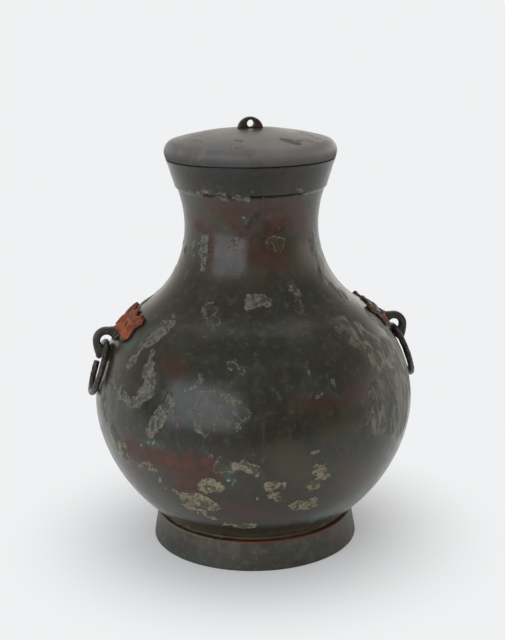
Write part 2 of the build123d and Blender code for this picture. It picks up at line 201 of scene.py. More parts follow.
# %% Hang the lamps
KEY_BEARING = radians(-47)
KEY_DISTANCE = 1.6
KEY_HEIGHT = 0.55
KEY_SIZE = (1.65, 1.2)
KEY_RADIANCE = 2.0
TOP_PLACE = Vector((0.1, 0.5, 1.6))
TOP_AIM = Vector((0, 0, 0.25))
TOP_SIZE = (1.6, 1.2)
TOP_RADIANCE = 0.55


def softbox(name, place, aim, size, radiance, colour):
    """A rectangular lamp of a given radiance that faces a point and hides from the camera."""
    light = bpy.data.lights.new(name, "AREA")
    light.shape = "RECTANGLE"
    light.size, light.size_y = size
    light.energy = radiance * pi * size[0] * size[1]
    light.color = linear(colour)[:3]
    lamp = bpy.data.objects.new(name, light)
    bpy.context.collection.objects.link(lamp)
    facing = (place - aim).to_track_quat("Z", "Y").to_matrix().to_4x4()
    lamp.matrix_world = Matrix.Translation(place) @ facing
    lamp.visible_camera = False
    print(f"{name}: {light.energy:.1f} W")


key_aim = Vector((0, 0, KEY_HEIGHT))
key_place = toward(KEY_BEARING) * KEY_DISTANCE + key_aim
softbox("key_softbox", key_place, key_aim, KEY_SIZE, KEY_RADIANCE, "#eef1fb")
softbox("top_softbox", TOP_PLACE, TOP_AIM, TOP_SIZE, TOP_RADIANCE, "#fffdf8")

# %% [markdown]
# ## Floor
# The floor is a matt pale sheet that catches the vessel's soft shadow. Further out it turns by
# distance into an even glow of the background's tone, so no horizon shows. In reflections the floor
# towards the camera is as dim as the room there.

# %% Lay the floor
FLOOR_RADIUS = 6.0
FLOOR_NEAR, FLOOR_FAR = 0.085, 0.24  # metres from the axis where the sheet turns into the glow
FLOOR_FILL = 0.2  # even glow near the vessel, for the camera and for reflections
FLOOR_DIM = 0.3  # strength of the reflected floor towards the camera
DIM_START, DIM_END = 0.15, 0.8  # metres towards the camera where it dims
PAPER = "#f1f5fa"


def start_material(name):
    """An empty node material, its tree, and the object's own coordinates in that tree."""
    material = bpy.data.materials.new(name)
    material.use_nodes = True
    tree = material.node_tree
    tree.nodes.clear()
    return material, tree, node(tree, "TexCoord", output="Object")


# Matt paper: no gloss at all, so it shows only light and shadow.
paper, tree, place = start_material("matt_paper_sweep")
reach = node(tree, "VectorMath", {0: place}, "Value", operation="LENGTH")
far = node(tree, "MapRange", {0: reach, 1: FLOOR_NEAR, 2: FLOOR_FAR}, **SMOOTH)
seen = node(tree, "LightPath", output="Is Camera Ray")
mirrored = node(tree, "LightPath", output="Is Glossy Ray")
shown = node(tree, "Math", {0: seen, 1: mirrored}, operation="MAXIMUM")
glow = node(tree, "Math", {0: far, 1: shown}, **TIMES)
fill = node(tree, "Math", {0: shown, 1: FLOOR_FILL}, **TIMES)
ahead = node(tree, "VectorMath", {0: place, 1: toward(VIEW_BEARING)}, "Value", operation="DOT_PRODUCT")
dimmed = node(tree, "MapRange", {0: ahead, 1: DIM_START, 2: DIM_END, 3: 1.0, 4: FLOOR_DIM}, **SMOOTH)
strength = node(tree, "Math", {0: seen, 1: dimmed}, operation="MAXIMUM")
matt = node(tree, "BsdfDiffuse", {"Color": linear(PAPER)})
near = node(tree, "AddShader", {0: matt, 1: node(tree, "Emission", {"Strength": fill})})
even = node(tree, "Emission", {"Color": linear(BACKGROUND), "Strength": strength})
node(tree, "OutputMaterial", {"Surface": node(tree, "MixShader", {0: glow, 1: near, 2: even})})

shape = bmesh.new()
bmesh.ops.create_circle(shape, cap_ends=True, segments=96, radius=FLOOR_RADIUS)
floor_mesh = bpy.data.meshes.new("floor")
shape.to_mesh(floor_mesh)
shape.free()
floor_mesh.materials.append(paper)
floor = bpy.data.objects.new("floor", floor_mesh)
bpy.context.collection.objects.link(floor)
floor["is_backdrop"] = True
print("floor", 2 * FLOOR_RADIUS, "m across")

# %% [markdown]
# ## The turned wall
# The body was cast in a mould whose section is a chain of arcs. A screw modifier on a curve would
# turn it, but bmesh can draw the very same arcs: a vertex is extruded along a straight run, or spun
# about an arc's centre, and at the end the whole chain is spun about the axis. The sizes are the
# CAD model's own, in millimetres.

# %% Sizes of the wall's section
BELLY_RADIUS = 138.5
BELLY_HEIGHT = 128.0
BELLY_ARC = 100.0
LOWER_ARC = 136.0
LOWER_START = radians(16)
BOTTOM_ARC = 40.0
BOTTOM_HEIGHT = 12.0
THROAT_RADIUS = 57.5
THROAT_HEIGHT = 280.0
FLARE_ARC = 95.0
FLARE_ANGLE = radians(17)
MOUTH_HEIGHT = 336.0
WALL = 3.0
BAND_HEIGHT = 24.0
BAND_RELIEF = 1.4

belly_centre = (BELLY_RADIUS - BELLY_ARC, BELLY_HEIGHT)
lower_centre = (
    belly_centre[0] - (LOWER_ARC - BELLY_ARC) * cos(LOWER_START),
    belly_centre[1] + (LOWER_ARC - BELLY_ARC) * sin(LOWER_START),
)
bottom_rise = BOTTOM_HEIGHT + BOTTOM_ARC - lower_centre[1]
bottom_centre = (
    lower_centre[0] + sqrt((LOWER_ARC - BOTTOM_ARC) ** 2 - bottom_rise**2),
    BOTTOM_HEIGHT + BOTTOM_ARC,
)
narrowing = BELLY_RADIUS - THROAT_RADIUS
neck_arc = (narrowing**2 + (THROAT_HEIGHT - BELLY_HEIGHT) ** 2) / (2 * narrowing) - BELLY_ARC
neck_centre = (THROAT_RADIUS + neck_arc, THROAT_HEIGHT)
flare_centre = (THROAT_RADIUS + FLARE_ARC, THROAT_HEIGHT)
bottom_turn = atan2(bottom_centre[1] - lower_centre[1], bottom_centre[0] - lower_centre[0])
shoulder_turn = atan2(neck_centre[1] - belly_centre[1], neck_centre[0] - belly_centre[0])


def flare_radius(height, outset):
    """Radius of the straight flare at a height, moved out of the wall by outset."""
    start_radius = flare_centre[0] - (FLARE_ARC - outset) * cos(FLARE_ANGLE)
    start_height = THROAT_HEIGHT + (FLARE_ARC - outset) * sin(FLARE_ANGLE)
    return start_radius + (height - start_height) * tan(FLARE_ANGLE)


mouth_radius = flare_radius(MOUTH_HEIGHT, BAND_RELIEF)
bore_radius = flare_radius(MOUTH_HEIGHT, -WALL)
print(f"mouth {2 * mouth_radius:.1f} mm across, shoulder turns through {shoulder_turn:.2f} radians")


# %% Tools that draw and turn a section
def start_section(radius, height):
    """A new chain with its first vertex at a radius and height."""
    section = bmesh.new()
    place = Vector((radius, 0, height)) * MM
    return section, bmesh.ops.create_vert(section, co=place)["vert"][0]


def run_to(section, tip, radius, height, length=1000.0):
    """Extrudes the chain's last vertex straight to a radius and height, by edges of about a length."""
    start = tip.co.copy()
    end = Vector((radius, 0, height)) * MM
    steps = max(1, round((end - start).length / (length * MM)))
    for step in range(1, steps + 1):
        tip = bmesh.ops.extrude_vert_indiv(section, verts=[tip])["verts"][0]
        tip.co = start.lerp(end, step / steps)
    return tip


def turn_about(section, tip, centre, angle, length):
    """Spins the chain's last vertex about a centre, by edges of about a length."""
    middle = Vector((centre[0], 0, centre[1])) * MM
    steps = max(1, round(abs(angle) * (tip.co - middle).length / (length * MM)))
    spun = bmesh.ops.spin(section, geom=[tip], cent=middle, axis=(0, -1, 0), angle=angle, steps=steps)
    return next(part for part in spun["geom_last"] if isinstance(part, bmesh.types.BMVert))


def turned(section, steps):
    """Spins a closed section about the vessel's axis into a solid skin."""
    bmesh.ops.spin(
        section,
        geom=section.verts[:] + section.edges[:],
        cent=(0, 0, 0),
        axis=(0, 0, 1),
        angle=2 * pi,
        steps=steps,
        use_merge=True,
    )
    bmesh.ops.remove_doubles(section, verts=section.verts, dist=0.01 * MM)
    bmesh.ops.recalc_face_normals(section, faces=section.faces)


def round_edges(shape, radius, height, width, segments=3):
    """Bevels the ring of edges that lies at a radius and height."""

    def on_ring(vert):
        out = abs(hypot(vert.co.x, vert.co.y) - radius * MM)
        return max(out, abs(vert.co.z - height * MM)) < 0.05 * MM

    ring = [edge for edge in shape.edges if all(on_ring(vert) for vert in edge.verts)]
    bmesh.ops.bevel(
        shape, geom=ring, offset=width * MM, segments=segments, profile=0.5, affect="EDGES", material=-1
    )
    return len(ring)


print("section tools ready")

# %% Draw and turn the body
FINE = 2.2  # mesh step outside, where the crusts stand out
COARSE = 12.0  # mesh step inside
TURN_STEPS = 400
MOUTH_EDGE = 0.6
BAND_EDGE = 1.1
band_foot = MOUTH_HEIGHT - BAND_HEIGHT
band_radius = flare_radius(band_foot, BAND_RELIEF)
arcs = [
    (bottom_centre, bottom_turn + pi / 2),
    (lower_centre, -LOWER_START - bottom_turn),
    (belly_centre, LOWER_START + shoulder_turn),
    (neck_centre, -shoulder_turn),
    (flare_centre, -FLARE_ANGLE),
]

body, tip = start_section(0, BOTTOM_HEIGHT)
tip = run_to(body, tip, bottom_centre[0], BOTTOM_HEIGHT, COARSE)
for centre, angle in arcs:
    tip = turn_about(body, tip, centre, angle, FINE)
tip = run_to(body, tip, flare_radius(band_foot, 0), band_foot, FINE)
tip = run_to(body, tip, band_radius, band_foot)
tip = run_to(body, tip, mouth_radius, MOUTH_HEIGHT, FINE)
outline = [(vert.co.z / MM, vert.co.x / MM) for vert in body.verts if vert.co.x > bottom_centre[0] * MM]
tip = run_to(body, tip, bore_radius, MOUTH_HEIGHT)
inner_flare = THROAT_HEIGHT + (FLARE_ARC + WALL) * sin(FLARE_ANGLE)
tip = run_to(body, tip, flare_radius(inner_flare, -WALL), inner_flare, COARSE)
for centre, angle in reversed(arcs):
    tip = turn_about(body, tip, centre, -angle, COARSE)
tip = run_to(body, tip, 0, BOTTOM_HEIGHT + WALL, COARSE)
section_points = len(body.verts)
turned(body, TURN_STEPS)
rounded = round_edges(body, mouth_radius, MOUTH_HEIGHT, MOUTH_EDGE)
rounded += round_edges(body, band_radius, band_foot, BAND_EDGE, 4)
print(f"body: {section_points} points round {TURN_STEPS} steps, {rounded} rim edges rounded")
wall_heights, wall_radii = np.array(sorted(outline)).T

# %% [markdown]
# ## Where the corrosion lies
# Burial left pale crusts, red oxide and green salts in places that no pattern can guess, so each is
# listed as a stroke: its width, then the places that it passes, each a bearing in degrees round
# from the front and a height in millimetres. A painted image could hold them, but strokes stay crisp
# at any size. The far side gets seeded strokes of the same kinds.

# %% Strokes of pale crust
# Solid crusts, from the shoulder down to the foot.
CRUST = [
    (12, [(-54, 208), (-57, 202)]),
    (11, [(-57, 202), (-62, 192)]),
    (10, [(-62, 192), (-64, 177)]),
    (6, [(-55, 193), (-54, 185)]),
    (16, [(-53, 180), (-50, 172), (-50, 165)]),
    (12, [(-50, 165), (-52, 157)]),
    (11, [(-53, 153), (-57, 152), (-63, 155)]),
    (10, [(-40, 160), (-42, 152), (-44, 142), (-47, 132)]),
    (5, [(-40, 160), (-38, 157), (-36, 150), (-36, 142)]),
    (8, [(-72, 163), (-69, 156)]),
    (11, [(-61, 110), (-61, 101)]),
    (4, [(-55, 97), (-49, 101), (-46, 99)]),
    (5, [(-45, 90), (-44, 83)]),
    (5, [(-41, 81), (-39, 77)]),
    (16, [(-36, 73), (-31, 75), (-28, 72)]),
    (13, [(-28, 90), (-25, 95), (-23, 91)]),
    (9, [(-16, 112), (-13, 114), (-11, 109)]),
    (6, [(-9, 104)]),
    (6, [(-36, 66), (-31, 61), (-25, 52), (-18, 46)]),
    (10, [(-18, 46), (-12, 48)]),
    (4, [(-9, 79)]),
    (9, [(-5, 93), (-2, 93)]),
    (6, [(-4, 84), (-1, 79)]),
    (12, [(13, 105), (14, 97)]),
    (11, [(11, 88)]),
    (14, [(6, 70), (12, 70)]),
    (4, [(9, 119), (11, 123)]),
    (14, [(-10, 230), (-3, 231)]),
    (8, [(18, 240), (21, 234)]),
    (8, [(-52, 275), (-52, 265), (-50, 255)]),
    (6, [(-65, 268), (-64, 264)]),
    (6, [(-22, 277), (-24, 271)]),
    (4, [(11, 180)]),
    (4, [(19, 172)]),
    (4, [(12, 165), (14, 165)]),
    (4, [(-13, 294)]),
    (3.5, [(-62, 313), (-38, 315), (-29, 314)]),
    (2.5, [(-22, 315), (-9, 315)]),
    (2.5, [(1, 316), (4, 315)]),
    (3.2, [(-36, 312), (-10, 311)]),
    (2.8, [(0, 312), (16, 311)]),
    (2.5, [(16, 314), (29, 314)]),
    (5, [(-80, 262), (-76, 251)]),
]
# Thin crusts that show as pale winding outlines with the dark skin inside.
LACE = [
    (10, [(-58, 213)]),
    (19, [(-26, 163), (-25, 155), (-26, 147)]),
    (6, [(-20, 167), (-17, 162)]),
    (11, [(-15, 158), (-13, 154)]),
    (6, [(-15, 144)]),
    (5, [(-34, 168), (-31, 173), (-29, 180)]),
    (10, [(-36, 223), (-31, 215)]),
    (8, [(-18, 189), (-14, 186)]),
    (5, [(-24, 120)]),
    (10, [(-22, 109), (-19, 113), (-16, 110)]),
    (8, [(-17, 97)]),
    (9, [(19, 228), (18, 221)]),
    (11, [(7, 275), (12, 272)]),
]
# Thick lumpy crusts on the side where the vessel lay.
LUMPS = [
    (20, [(38, 206), (40, 196), (43, 186), (46, 180)]),
    (18, [(44, 199), (50, 188)]),
    (14, [(38, 157), (38, 143), (37, 127)]),
    (22, [(49, 160), (49, 140), (46, 125)]),
    (26, [(58, 180), (60, 160), (58, 138), (56, 120)]),
    (18, [(70, 200), (70, 170), (68, 140)]),
    (9, [(33, 134), (37, 125), (42, 128)]),
    (12, [(51, 270), (57, 251), (52, 240)]),
    (14, [(-70, 120), (-64, 105)]),
    (14, [(-80, 150), (-75, 130)]),
    (10, [(58, 232), (64, 222)]),
]
print(len(CRUST), "crusts,", len(LACE), "laces,", len(LUMPS), "lumps")

# %% Strokes of red, green and olive salts
CUPRITE = [
    (20, [(-56, 111), (-47, 110), (-41, 108)]),
    (24, [(-36, 107), (-30, 111), (-26, 108)]),
    (22, [(-32, 100), (-35, 88)]),
    (9, [(-37, 80)]),
    (9, [(-22, 105)]),
    (9, [(-58, 284), (-54, 280)]),
    (13, [(-22, 288), (-20, 283)]),
    (14, [(8, 284), (14, 286)]),
    (3, [(10, 332), (18, 331)]),
    (5, [(-36, 142)]),
    (5, [(-22, 161)]),
    (7, [(1, 230)]),
]
ROSE = [
    (18, [(-46, 186), (-38, 181)]),
    (16, [(26, 161), (34, 160)]),
    (14, [(6, 158), (20, 156)]),
    (14, [(29, 293), (35, 279), (40, 266)]),
    (16, [(-62, 288), (-50, 276)]),
    (20, [(-8, 262), (10, 262)]),
    (16, [(-44, 306), (-20, 302)]),
    (18, [(6, 304), (24, 300)]),
    (16, [(-20, 70), (-8, 64)]),
    (18, [(24, 100), (30, 84)]),
]
VERDIGRIS = [
    (15, [(20, 50), (29, 57), (40, 64)]),
    (9, [(-58, 207), (-64, 197), (-70, 190)]),
    (9, [(-49, 119), (-43, 118)]),
    (8, [(-19, 104)]),
]
MALACHITE = [
    (4, [(-49, 122)]),
    (3.5, [(-46, 123)]),
    (4, [(-19, 100)]),
    (2.5, [(-52, 119)]),
]
OLIVE = [
    (20, [(15, 140), (22, 137)]),
    (18, [(-76, 104)]),
    (14, [(40, 185)]),
    (12, [(-78, 170)]),
    (16, [(-60, 300), (-40, 296)]),
    (18, [(14, 268), (26, 262)]),
    (24, [(0, 120), (6, 104)]),
    (24, [(26, 92), (34, 80)]),
    (22, [(-50, 70), (-40, 56)]),
]
print(len(CUPRITE) + len(ROSE), "red,", len(VERDIGRIS) + len(MALACHITE), "green,", len(OLIVE), "olive")

# %% Strokes on the far side
FAR_SIDE = (78, 272)  # bearings between which the photograph shows nothing
FAR_HEIGHTS = (40, 300)  # where a stroke may start
WALL_HEIGHTS = (36, 318)  # where it may go
chance = np.random.default_rng(11)


def scattered(count, widths, longest):
    """Seeded strokes over the far side: a start, then two short steps in a wandering direction."""
    strokes = []
    for _ in range(count):
        bearing = chance.uniform(*FAR_SIDE)
        height = chance.uniform(*FAR_HEIGHTS)
        course = chance.uniform(0, 2 * pi)
        path = [(bearing, height)]
        for _ in range(2):
            step = chance.uniform(0.2, 0.5) * longest
            bearing += step * cos(course) / 2
            height += step * sin(course)
            course += chance.normal(0, 0.7)
            path.append((bearing, min(max(height, WALL_HEIGHTS[0]), WALL_HEIGHTS[1])))
        strokes.append((chance.uniform(*widths), path))
    return strokes


CORROSION = {
    "crust": CRUST + scattered(34, (4, 14), 30),
    "lace": LACE + scattered(14, (6, 18), 30),
    "lumps": LUMPS + scattered(9, (12, 24), 50),
    "cuprite": CUPRITE + scattered(9, (8, 22), 40),
    "rose": ROSE + scattered(9, (12, 22), 40),
    "verdigris": VERDIGRIS + scattered(7, (6, 16), 30),
    "malachite": MALACHITE + scattered(5, (2.5, 4), 4),
    "olive": OLIVE + scattered(9, (12, 24), 40),
}
print({name: len(strokes) for name, strokes in CORROSION.items()})

# %% [markdown]
# ## Fields on the mesh
# A stroke becomes a field: for every vertex the distance in millimetres to the stroke's edge,
# positive inside. Fields vary slowly, so a two-millimetre mesh holds them well, and a shader that
# roughens a field with noise and cuts it at zero draws an edge far finer than the mesh.


# %% Tools that measure and move vertices
FIELD_FLOOR = -50.0  # field far from any stroke


def round_place(bearing, radius, height):
    """A point at a bearing, radius and height, in millimetres."""
    return np.array([radius * sin(radians(bearing)), -radius * cos(radians(bearing)), height])


def wall_place(bearing, height):
    """A point on the outside of the wall."""
    return round_place(bearing, np.interp(height, wall_heights, wall_radii), height)


def stroke_field(points, strokes, locate):
    """Distance in millimetres from every point to the edge of the nearest stroke, positive inside."""
    field = np.full(len(points), FIELD_FLOOR)
    for width, path in strokes:
        stops = [locate(*stop) for stop in path]
        for start, end in zip(stops, stops[1:] or stops):
            run = end - start
            share = np.clip((points - start) @ run / max(run @ run, 1e-6), 0, 1)
            away = np.linalg.norm(points - start - share[:, None] * run, axis=1)
            field = np.maximum(field, width / 2 - away)
    return field


def vertex_places(mesh):
    """All vertices of a mesh in millimetres."""
    places = np.empty(len(mesh.vertices) * 3)
    mesh.vertices.foreach_get("co", places)
    return places.reshape(-1, 3) / MM


def vertex_normals(mesh):
    """The direction that each vertex faces."""
    normals = np.empty(len(mesh.vertices) * 3, dtype=np.float32)
    mesh.vertex_normals.foreach_get("vector", normals)
    return normals.reshape(-1, 3)


def sunk(mesh, points, depth):
    """Places of a mesh's vertices after each is sunk straight into the surface by its own depth."""
    return points - vertex_normals(mesh) * depth[:, None]


def move_to(mesh, places):
    """Moves all vertices of a mesh to places in millimetres."""
    mesh.vertices.foreach_set("co", (places * MM).ravel())
    mesh.update()


def store(mesh, name, values):
    """Keeps one number per vertex for the shader to read."""
    mesh.attributes.new(name, "FLOAT", "POINT").data.foreach_set("value", values.astype(np.float32))


noise.seed_set(4)


def drift(points, size, amount):
    """A smooth random shift for each point, over a size and up to an amount in millimetres."""
    return np.array([noise.noise_vector(Vector(point) / size) for point in points]) * amount


def swell(points, size, octaves=3):
    """Layered noise between about -1 and 1 at each point."""
    return np.array([noise.fractal(Vector(point) / size, 1.0, 2.0, octaves) for point in points])


def bearings(points):
    """Degrees round from the front of every point."""
    return np.degrees(np.arctan2(points[:, 0], -points[:, 1]))


print("field tools ready")


# %% Keep the body and give it its fields
def keep_piece(name, shape, body_name, cad_node):
    """Makes a finished bmesh the object that stands for a CAD node."""
    mesh = bpy.data.meshes.new(name)
    shape.to_mesh(mesh)
    shape.free()
    mesh.polygons.foreach_set("use_smooth", [True] * len(mesh.polygons))
    piece = bpy.data.objects.new(name, mesh)
    bpy.context.collection.objects.link(piece)
    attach(piece, body_name)
    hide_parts(cad_node)
    mesh.calc_loop_triangles()
    print(f"{name}: {len(mesh.loop_triangles)} triangles")
    return piece


CRISP = ("crust", "lace", "malachite")  # patches that keep small ragged outlines
body_piece = keep_piece("bronze_body", body, "vessel", "vessel_body")
points = vertex_places(body_piece.data)
loose = points + drift(points, 13.0, 4.0)
tight = loose + drift(points, 4.5, 2.2)
fields = {}
for name, strokes in CORROSION.items():
    fields[name] = stroke_field(tight if name in CRISP else loose, strokes, wall_place)
    store(body_piece.data, name, fields[name])

# %% [markdown]
# ## Relief of the body
# Crusts stand proud of the skin, and the thick ones are lumpy enough to break the outline. Moving the
# crusts out would outgrow the CAD model, so the bare skin is sunk instead. Dirt and crust also fill
# the step under the band in front, where it hardly shows.

# %% Sink the skin and fill the step
SKIN_SINK = 0.5  # how far the bare skin lies below the tops of the crusts
CRUST_SINK = 0.22  # how deep the hollows in a crust are
CRUST_SLOPE, LUMP_SLOPE = 1.5, 5.0  # widths of their sloping edges
KNOB_STRETCH = (1, 1, 0.45)  # the knobs of the lumps run up and down
MOUTH_FADE = 4.0  # how far below the mouth the relief starts
FILL_HEIGHT = 7.0  # how far below the band the fill reaches
FILL_START, FILL_END, FILL_FADE = -68, 50, 16  # bearings of the fill, and of its thin ends

radius = np.hypot(points[:, 0], points[:, 1])
outside = radius > np.interp(points[:, 2], wall_heights, wall_radii) - WALL / 2
cover = np.clip(fields["crust"] / CRUST_SLOPE, 0, 1)
lumpy = np.clip(fields["lumps"] / LUMP_SLOPE + 0.4, 0, 1)
ripple = np.clip(0.5 + 0.5 * swell(points, 22.0), 0, 1)
knobs = np.clip(0.5 + 0.7 * swell(points * KNOB_STRETCH, 8.0, 2), 0, 1)
bare = SKIN_SINK * (0.75 + 0.25 * ripple) * (1 - lumpy * knobs)
sink = (1 - cover) * bare + cover * CRUST_SINK * knobs
from_mouth = np.clip((MOUTH_HEIGHT - points[:, 2]) / MOUTH_FADE, 0, 1)
moved = sunk(body_piece.data, points, np.where(outside, sink, 0) * from_mouth)

bearing = bearings(points)
ends = np.minimum(bearing - FILL_START, FILL_END - bearing)
in_front = np.clip(ends / FILL_FADE, 0, 1)
below = np.clip(1 - (band_foot - points[:, 2]) / FILL_HEIGHT, 0, 1) * (points[:, 2] < band_foot + 0.01)
fill = BAND_RELIEF * in_front * below * np.clip(0.75 + 0.6 * swell(points, 12.0), 0.15, 1.0)
moved[:, :2] *= (1 + np.where(outside, fill, 0) / np.maximum(radius, 1))[:, None]
move_to(body_piece.data, moved)
crusted = np.mean(fields["crust"][outside] > 0)
print(f"crust on {crusted:.1%} of the outside, fill up to {fill.max():.2f} mm")

# %% [markdown]
# ## The body's patina
# The metal is tin bronze, cast and then buried, so what shows is no metal but a skin of dark oxides
# and salts, smooth where it was polished again. A metallic shader would look like new bronze. A dark
# dielectric skin with a low gloss gives the right deep tone in front and pale edges at the sides.


# %% Tools for stains, zones and patches
def per_mm(size):
    """Texture scale for features of a size in millimetres."""
    return 1 / (size * MM)


def stained(tree, place, colour, stains):
    """Lays noisy stains over a colour.

    A stain is its size in millimetres, the levels of noise where it starts and is full, and its tone.
    """
    for size, start, full, tone in stains:
        look = {"Vector": place, "Scale": per_mm(size), "Detail": 4.0, "Roughness": 0.6}
        share = node(tree, "MapRange", {0: node(tree, "TexNoise", look), 1: start, 2: full}, **SMOOTH)
        colour = node(tree, "Mix", {0: share, 6: colour, 7: linear(tone)}, 2, **COLOUR)
    return colour


def zoned(tree, value, colour, zones, unit=1.0):
    """Lays tones over a colour where a value, such as the height, lies in a zone.

    A zone is the values where it starts and is full, in the unit, then its full share and its tone.
    """
    for start, full, most, tone in zones:
        reach = {0: value, 1: start * unit, 2: full * unit, 4: most}
        share = node(tree, "MapRange", reach, **SMOOTH)
        colour = node(tree, "Mix", {0: share, 6: colour, 7: linear(tone)}, 2, **COLOUR)
    return colour


def patch(tree, name, ragged, amount, soft, most=1.0):
    """Share of a corrosion patch, and its depth in mm from an edge that noise has made ragged.

    The noise moves the edge by up to half an amount, which fades over soft to either side.
    """
    field = node(tree, "Attribute", output="Fac", attribute_name=name)
    centred = node(tree, "Math", {0: ragged, 1: 0.5}, operation="SUBTRACT")
    depth = node(tree, "Math", {0: centred, 1: amount, 2: field}, operation="MULTIPLY_ADD")
    return node(tree, "MapRange", {0: depth, 1: -soft, 2: soft, 4: most}, **SMOOTH), depth


def threads(tree, value, middle, width):
    """Share of a thin winding line, where a value passes a middle level."""
    away = node(tree, "Math", {0: value, 1: middle}, operation="SUBTRACT")
    near = node(tree, "Math", {0: away}, operation="ABSOLUTE")
    return node(tree, "MapRange", {0: near, 1: width, 2: 0.0}, **SMOOTH)


NOISE_LOW, NOISE_HIGH = 0.3, 0.7  # nearly all values of a noise texture lie between these
print("a 5 mm grain has scale", per_mm(5))

# %% Dark skin
# Patinated cast bronze: a thin glassy oxide over a cast face, so deep brown and green clouds under a
# soft sheen, with wiping streaks that run up and down and a fine grain of pits and specks.
SKIN_TONE = "#27271c"
SKIN_STAINS = [
    (75, 0.42, 0.6, "#30291e"),
    (50, 0.48, 0.64, "#262d26"),
    (28, 0.5, 0.68, "#383930"),
    (19, 0.55, 0.68, "#32271f"),
    (12, 0.52, 0.72, "#3f3e2d"),
    (6, 0.58, 0.72, "#474639"),
    (2.4, 0.36, 0.22, "#13130d"),
    (1.4, 0.68, 0.76, "#7d7a67"),
]
STREAKS = [(5, 0.54, 0.74, "#3f3f36"), (9, 0.56, 0.7, "#26211a")]

bronze, tree, place = start_material("patinated_cast_bronze")
upright = node(tree, "Mapping", {"Vector": place, "Scale": (1.0, 1.0, 0.15)})
skin_colour = stained(tree, place, linear(SKIN_TONE), SKIN_STAINS)
skin_colour = stained(tree, upright, skin_colour, STREAKS)
wide = node(tree, "TexNoise", {"Vector": place, "Scale": per_mm(9), "Detail": 4.0, "Roughness": 0.6})
ragged = node(tree, "TexNoise", {"Vector": place, "Scale": per_mm(4), "Detail": 4.0, "Roughness": 0.65})
fine = node(tree, "TexNoise", {"Vector": place, "Scale": per_mm(1.5), "Detail": 3.0})
print(len(SKIN_STAINS) + len(STREAKS), "stains in the skin")

# %% Umber, dirt and darker zones by height
# Umber earth stains the front and back of the neck. The band is darker, the lower half turns browner
# and darker towards the bottom, and dirt lies in the crease above the foot. Heights are in millimetres.
NECK_UMBER = "#54463a"
NECK_START, NECK_FULL, NECK_SHARE = 230, 265, 0.7
NECK_END, NECK_FADE = 314, 298
NECK_SIDE, NECK_FRONT = 60, 42  # distance to either side of the middle
NECK_STAINS = [
    (24, 0.48, 0.62, "#33271f"),
    (14, 0.5, 0.62, "#33372e"),
    (7, 0.54, 0.68, "#565040"),
    (3, 0.4, 0.28, "#221d16"),
]
# The band darker, and the lower half browner and darker towards the bottom.
SKIN_ZONES = [(308, 314, 0.55, "#1f1a12"), (150, 60, 0.75, "#2c2213")]
CREASE_START, CREASE_FULL, CREASE_SHARE = 42, 28, 0.7
CREASE_DIRT = "#51482f"
CREASE_STAINS = [(9, 0.48, 0.62, "#2f2a1e"), (3, 0.56, 0.7, "#6b6248")]

rise = node(tree, "SeparateXYZ", {0: place}, "Z")
neck = node(tree, "MapRange", {0: rise, 1: NECK_START * MM, 2: NECK_FULL * MM, 4: NECK_SHARE}, **SMOOTH)
below_band = node(tree, "MapRange", {0: rise, 1: NECK_END * MM, 2: NECK_FADE * MM}, **SMOOTH)
neck = node(tree, "Math", {0: neck, 1: below_band}, **TIMES)
across = node(tree, "Math", {0: node(tree, "SeparateXYZ", {0: place}, "X")}, operation="ABSOLUTE")
facing = node(tree, "MapRange", {0: across, 1: NECK_SIDE * MM, 2: NECK_FRONT * MM}, **SMOOTH)
neck = node(tree, "Math", {0: neck, 1: facing}, **TIMES)
umber = stained(tree, place, linear(NECK_UMBER), NECK_STAINS)
skin_colour = node(tree, "Mix", {0: neck, 6: skin_colour, 7: umber}, 2, **COLOUR)
skin_colour = zoned(tree, rise, skin_colour, SKIN_ZONES, MM)
low = {0: rise, 1: CREASE_START * MM, 2: CREASE_FULL * MM, 4: CREASE_SHARE}
crease = node(tree, "MapRange", low, **SMOOTH)
dirt = stained(tree, place, linear(CREASE_DIRT), CREASE_STAINS)
colour = node(tree, "Mix", {0: crease, 6: skin_colour, 7: dirt}, 2, **COLOUR)
print(len(SKIN_ZONES) + 2, "zones by height")

# %% Red, green and olive salts
# Salts colour the skin from inside: olive, rose and green are thin and soft-edged, cuprite is a solid
# red-brown oxide with orange flecks.
CUPRITE_STAINS = [
    (13, 0.5, 0.64, "#5a2a1d"),
    (7, 0.48, 0.64, "#30221a"),
    (2.4, 0.62, 0.72, "#6f4631"),
    (1.5, 0.38, 0.28, "#21150f"),
]
SOFT_SALTS = [("olive", "#3d3a22", 0.75), ("rose", "#45261b", 0.65), ("verdigris", "#43594c", 0.8)]
for name, tone, most in SOFT_SALTS:
    share, _ = patch(tree, name, wide, amount=22.0, soft=7.0, most=most)
    colour = node(tree, "Mix", {0: share, 6: colour, 7: linear(tone)}, 2, **COLOUR)
cuprite, _ = patch(tree, "cuprite", wide, amount=18.0, soft=3.5)
red = stained(tree, place, linear("#44271b"), CUPRITE_STAINS)
colour = node(tree, "Mix", {0: cuprite, 6: colour, 7: red}, 2, **COLOUR)
print(len(SOFT_SALTS) + 1, "salts in the skin")

# %% Lumps
# The lumps are thick dull salts that ran down and dried in ridges.
LUMP_STAINS = [(5, 0.54, 0.7, "#6f6d5e"), (2.6, 0.42, 0.3, "#302e25")]

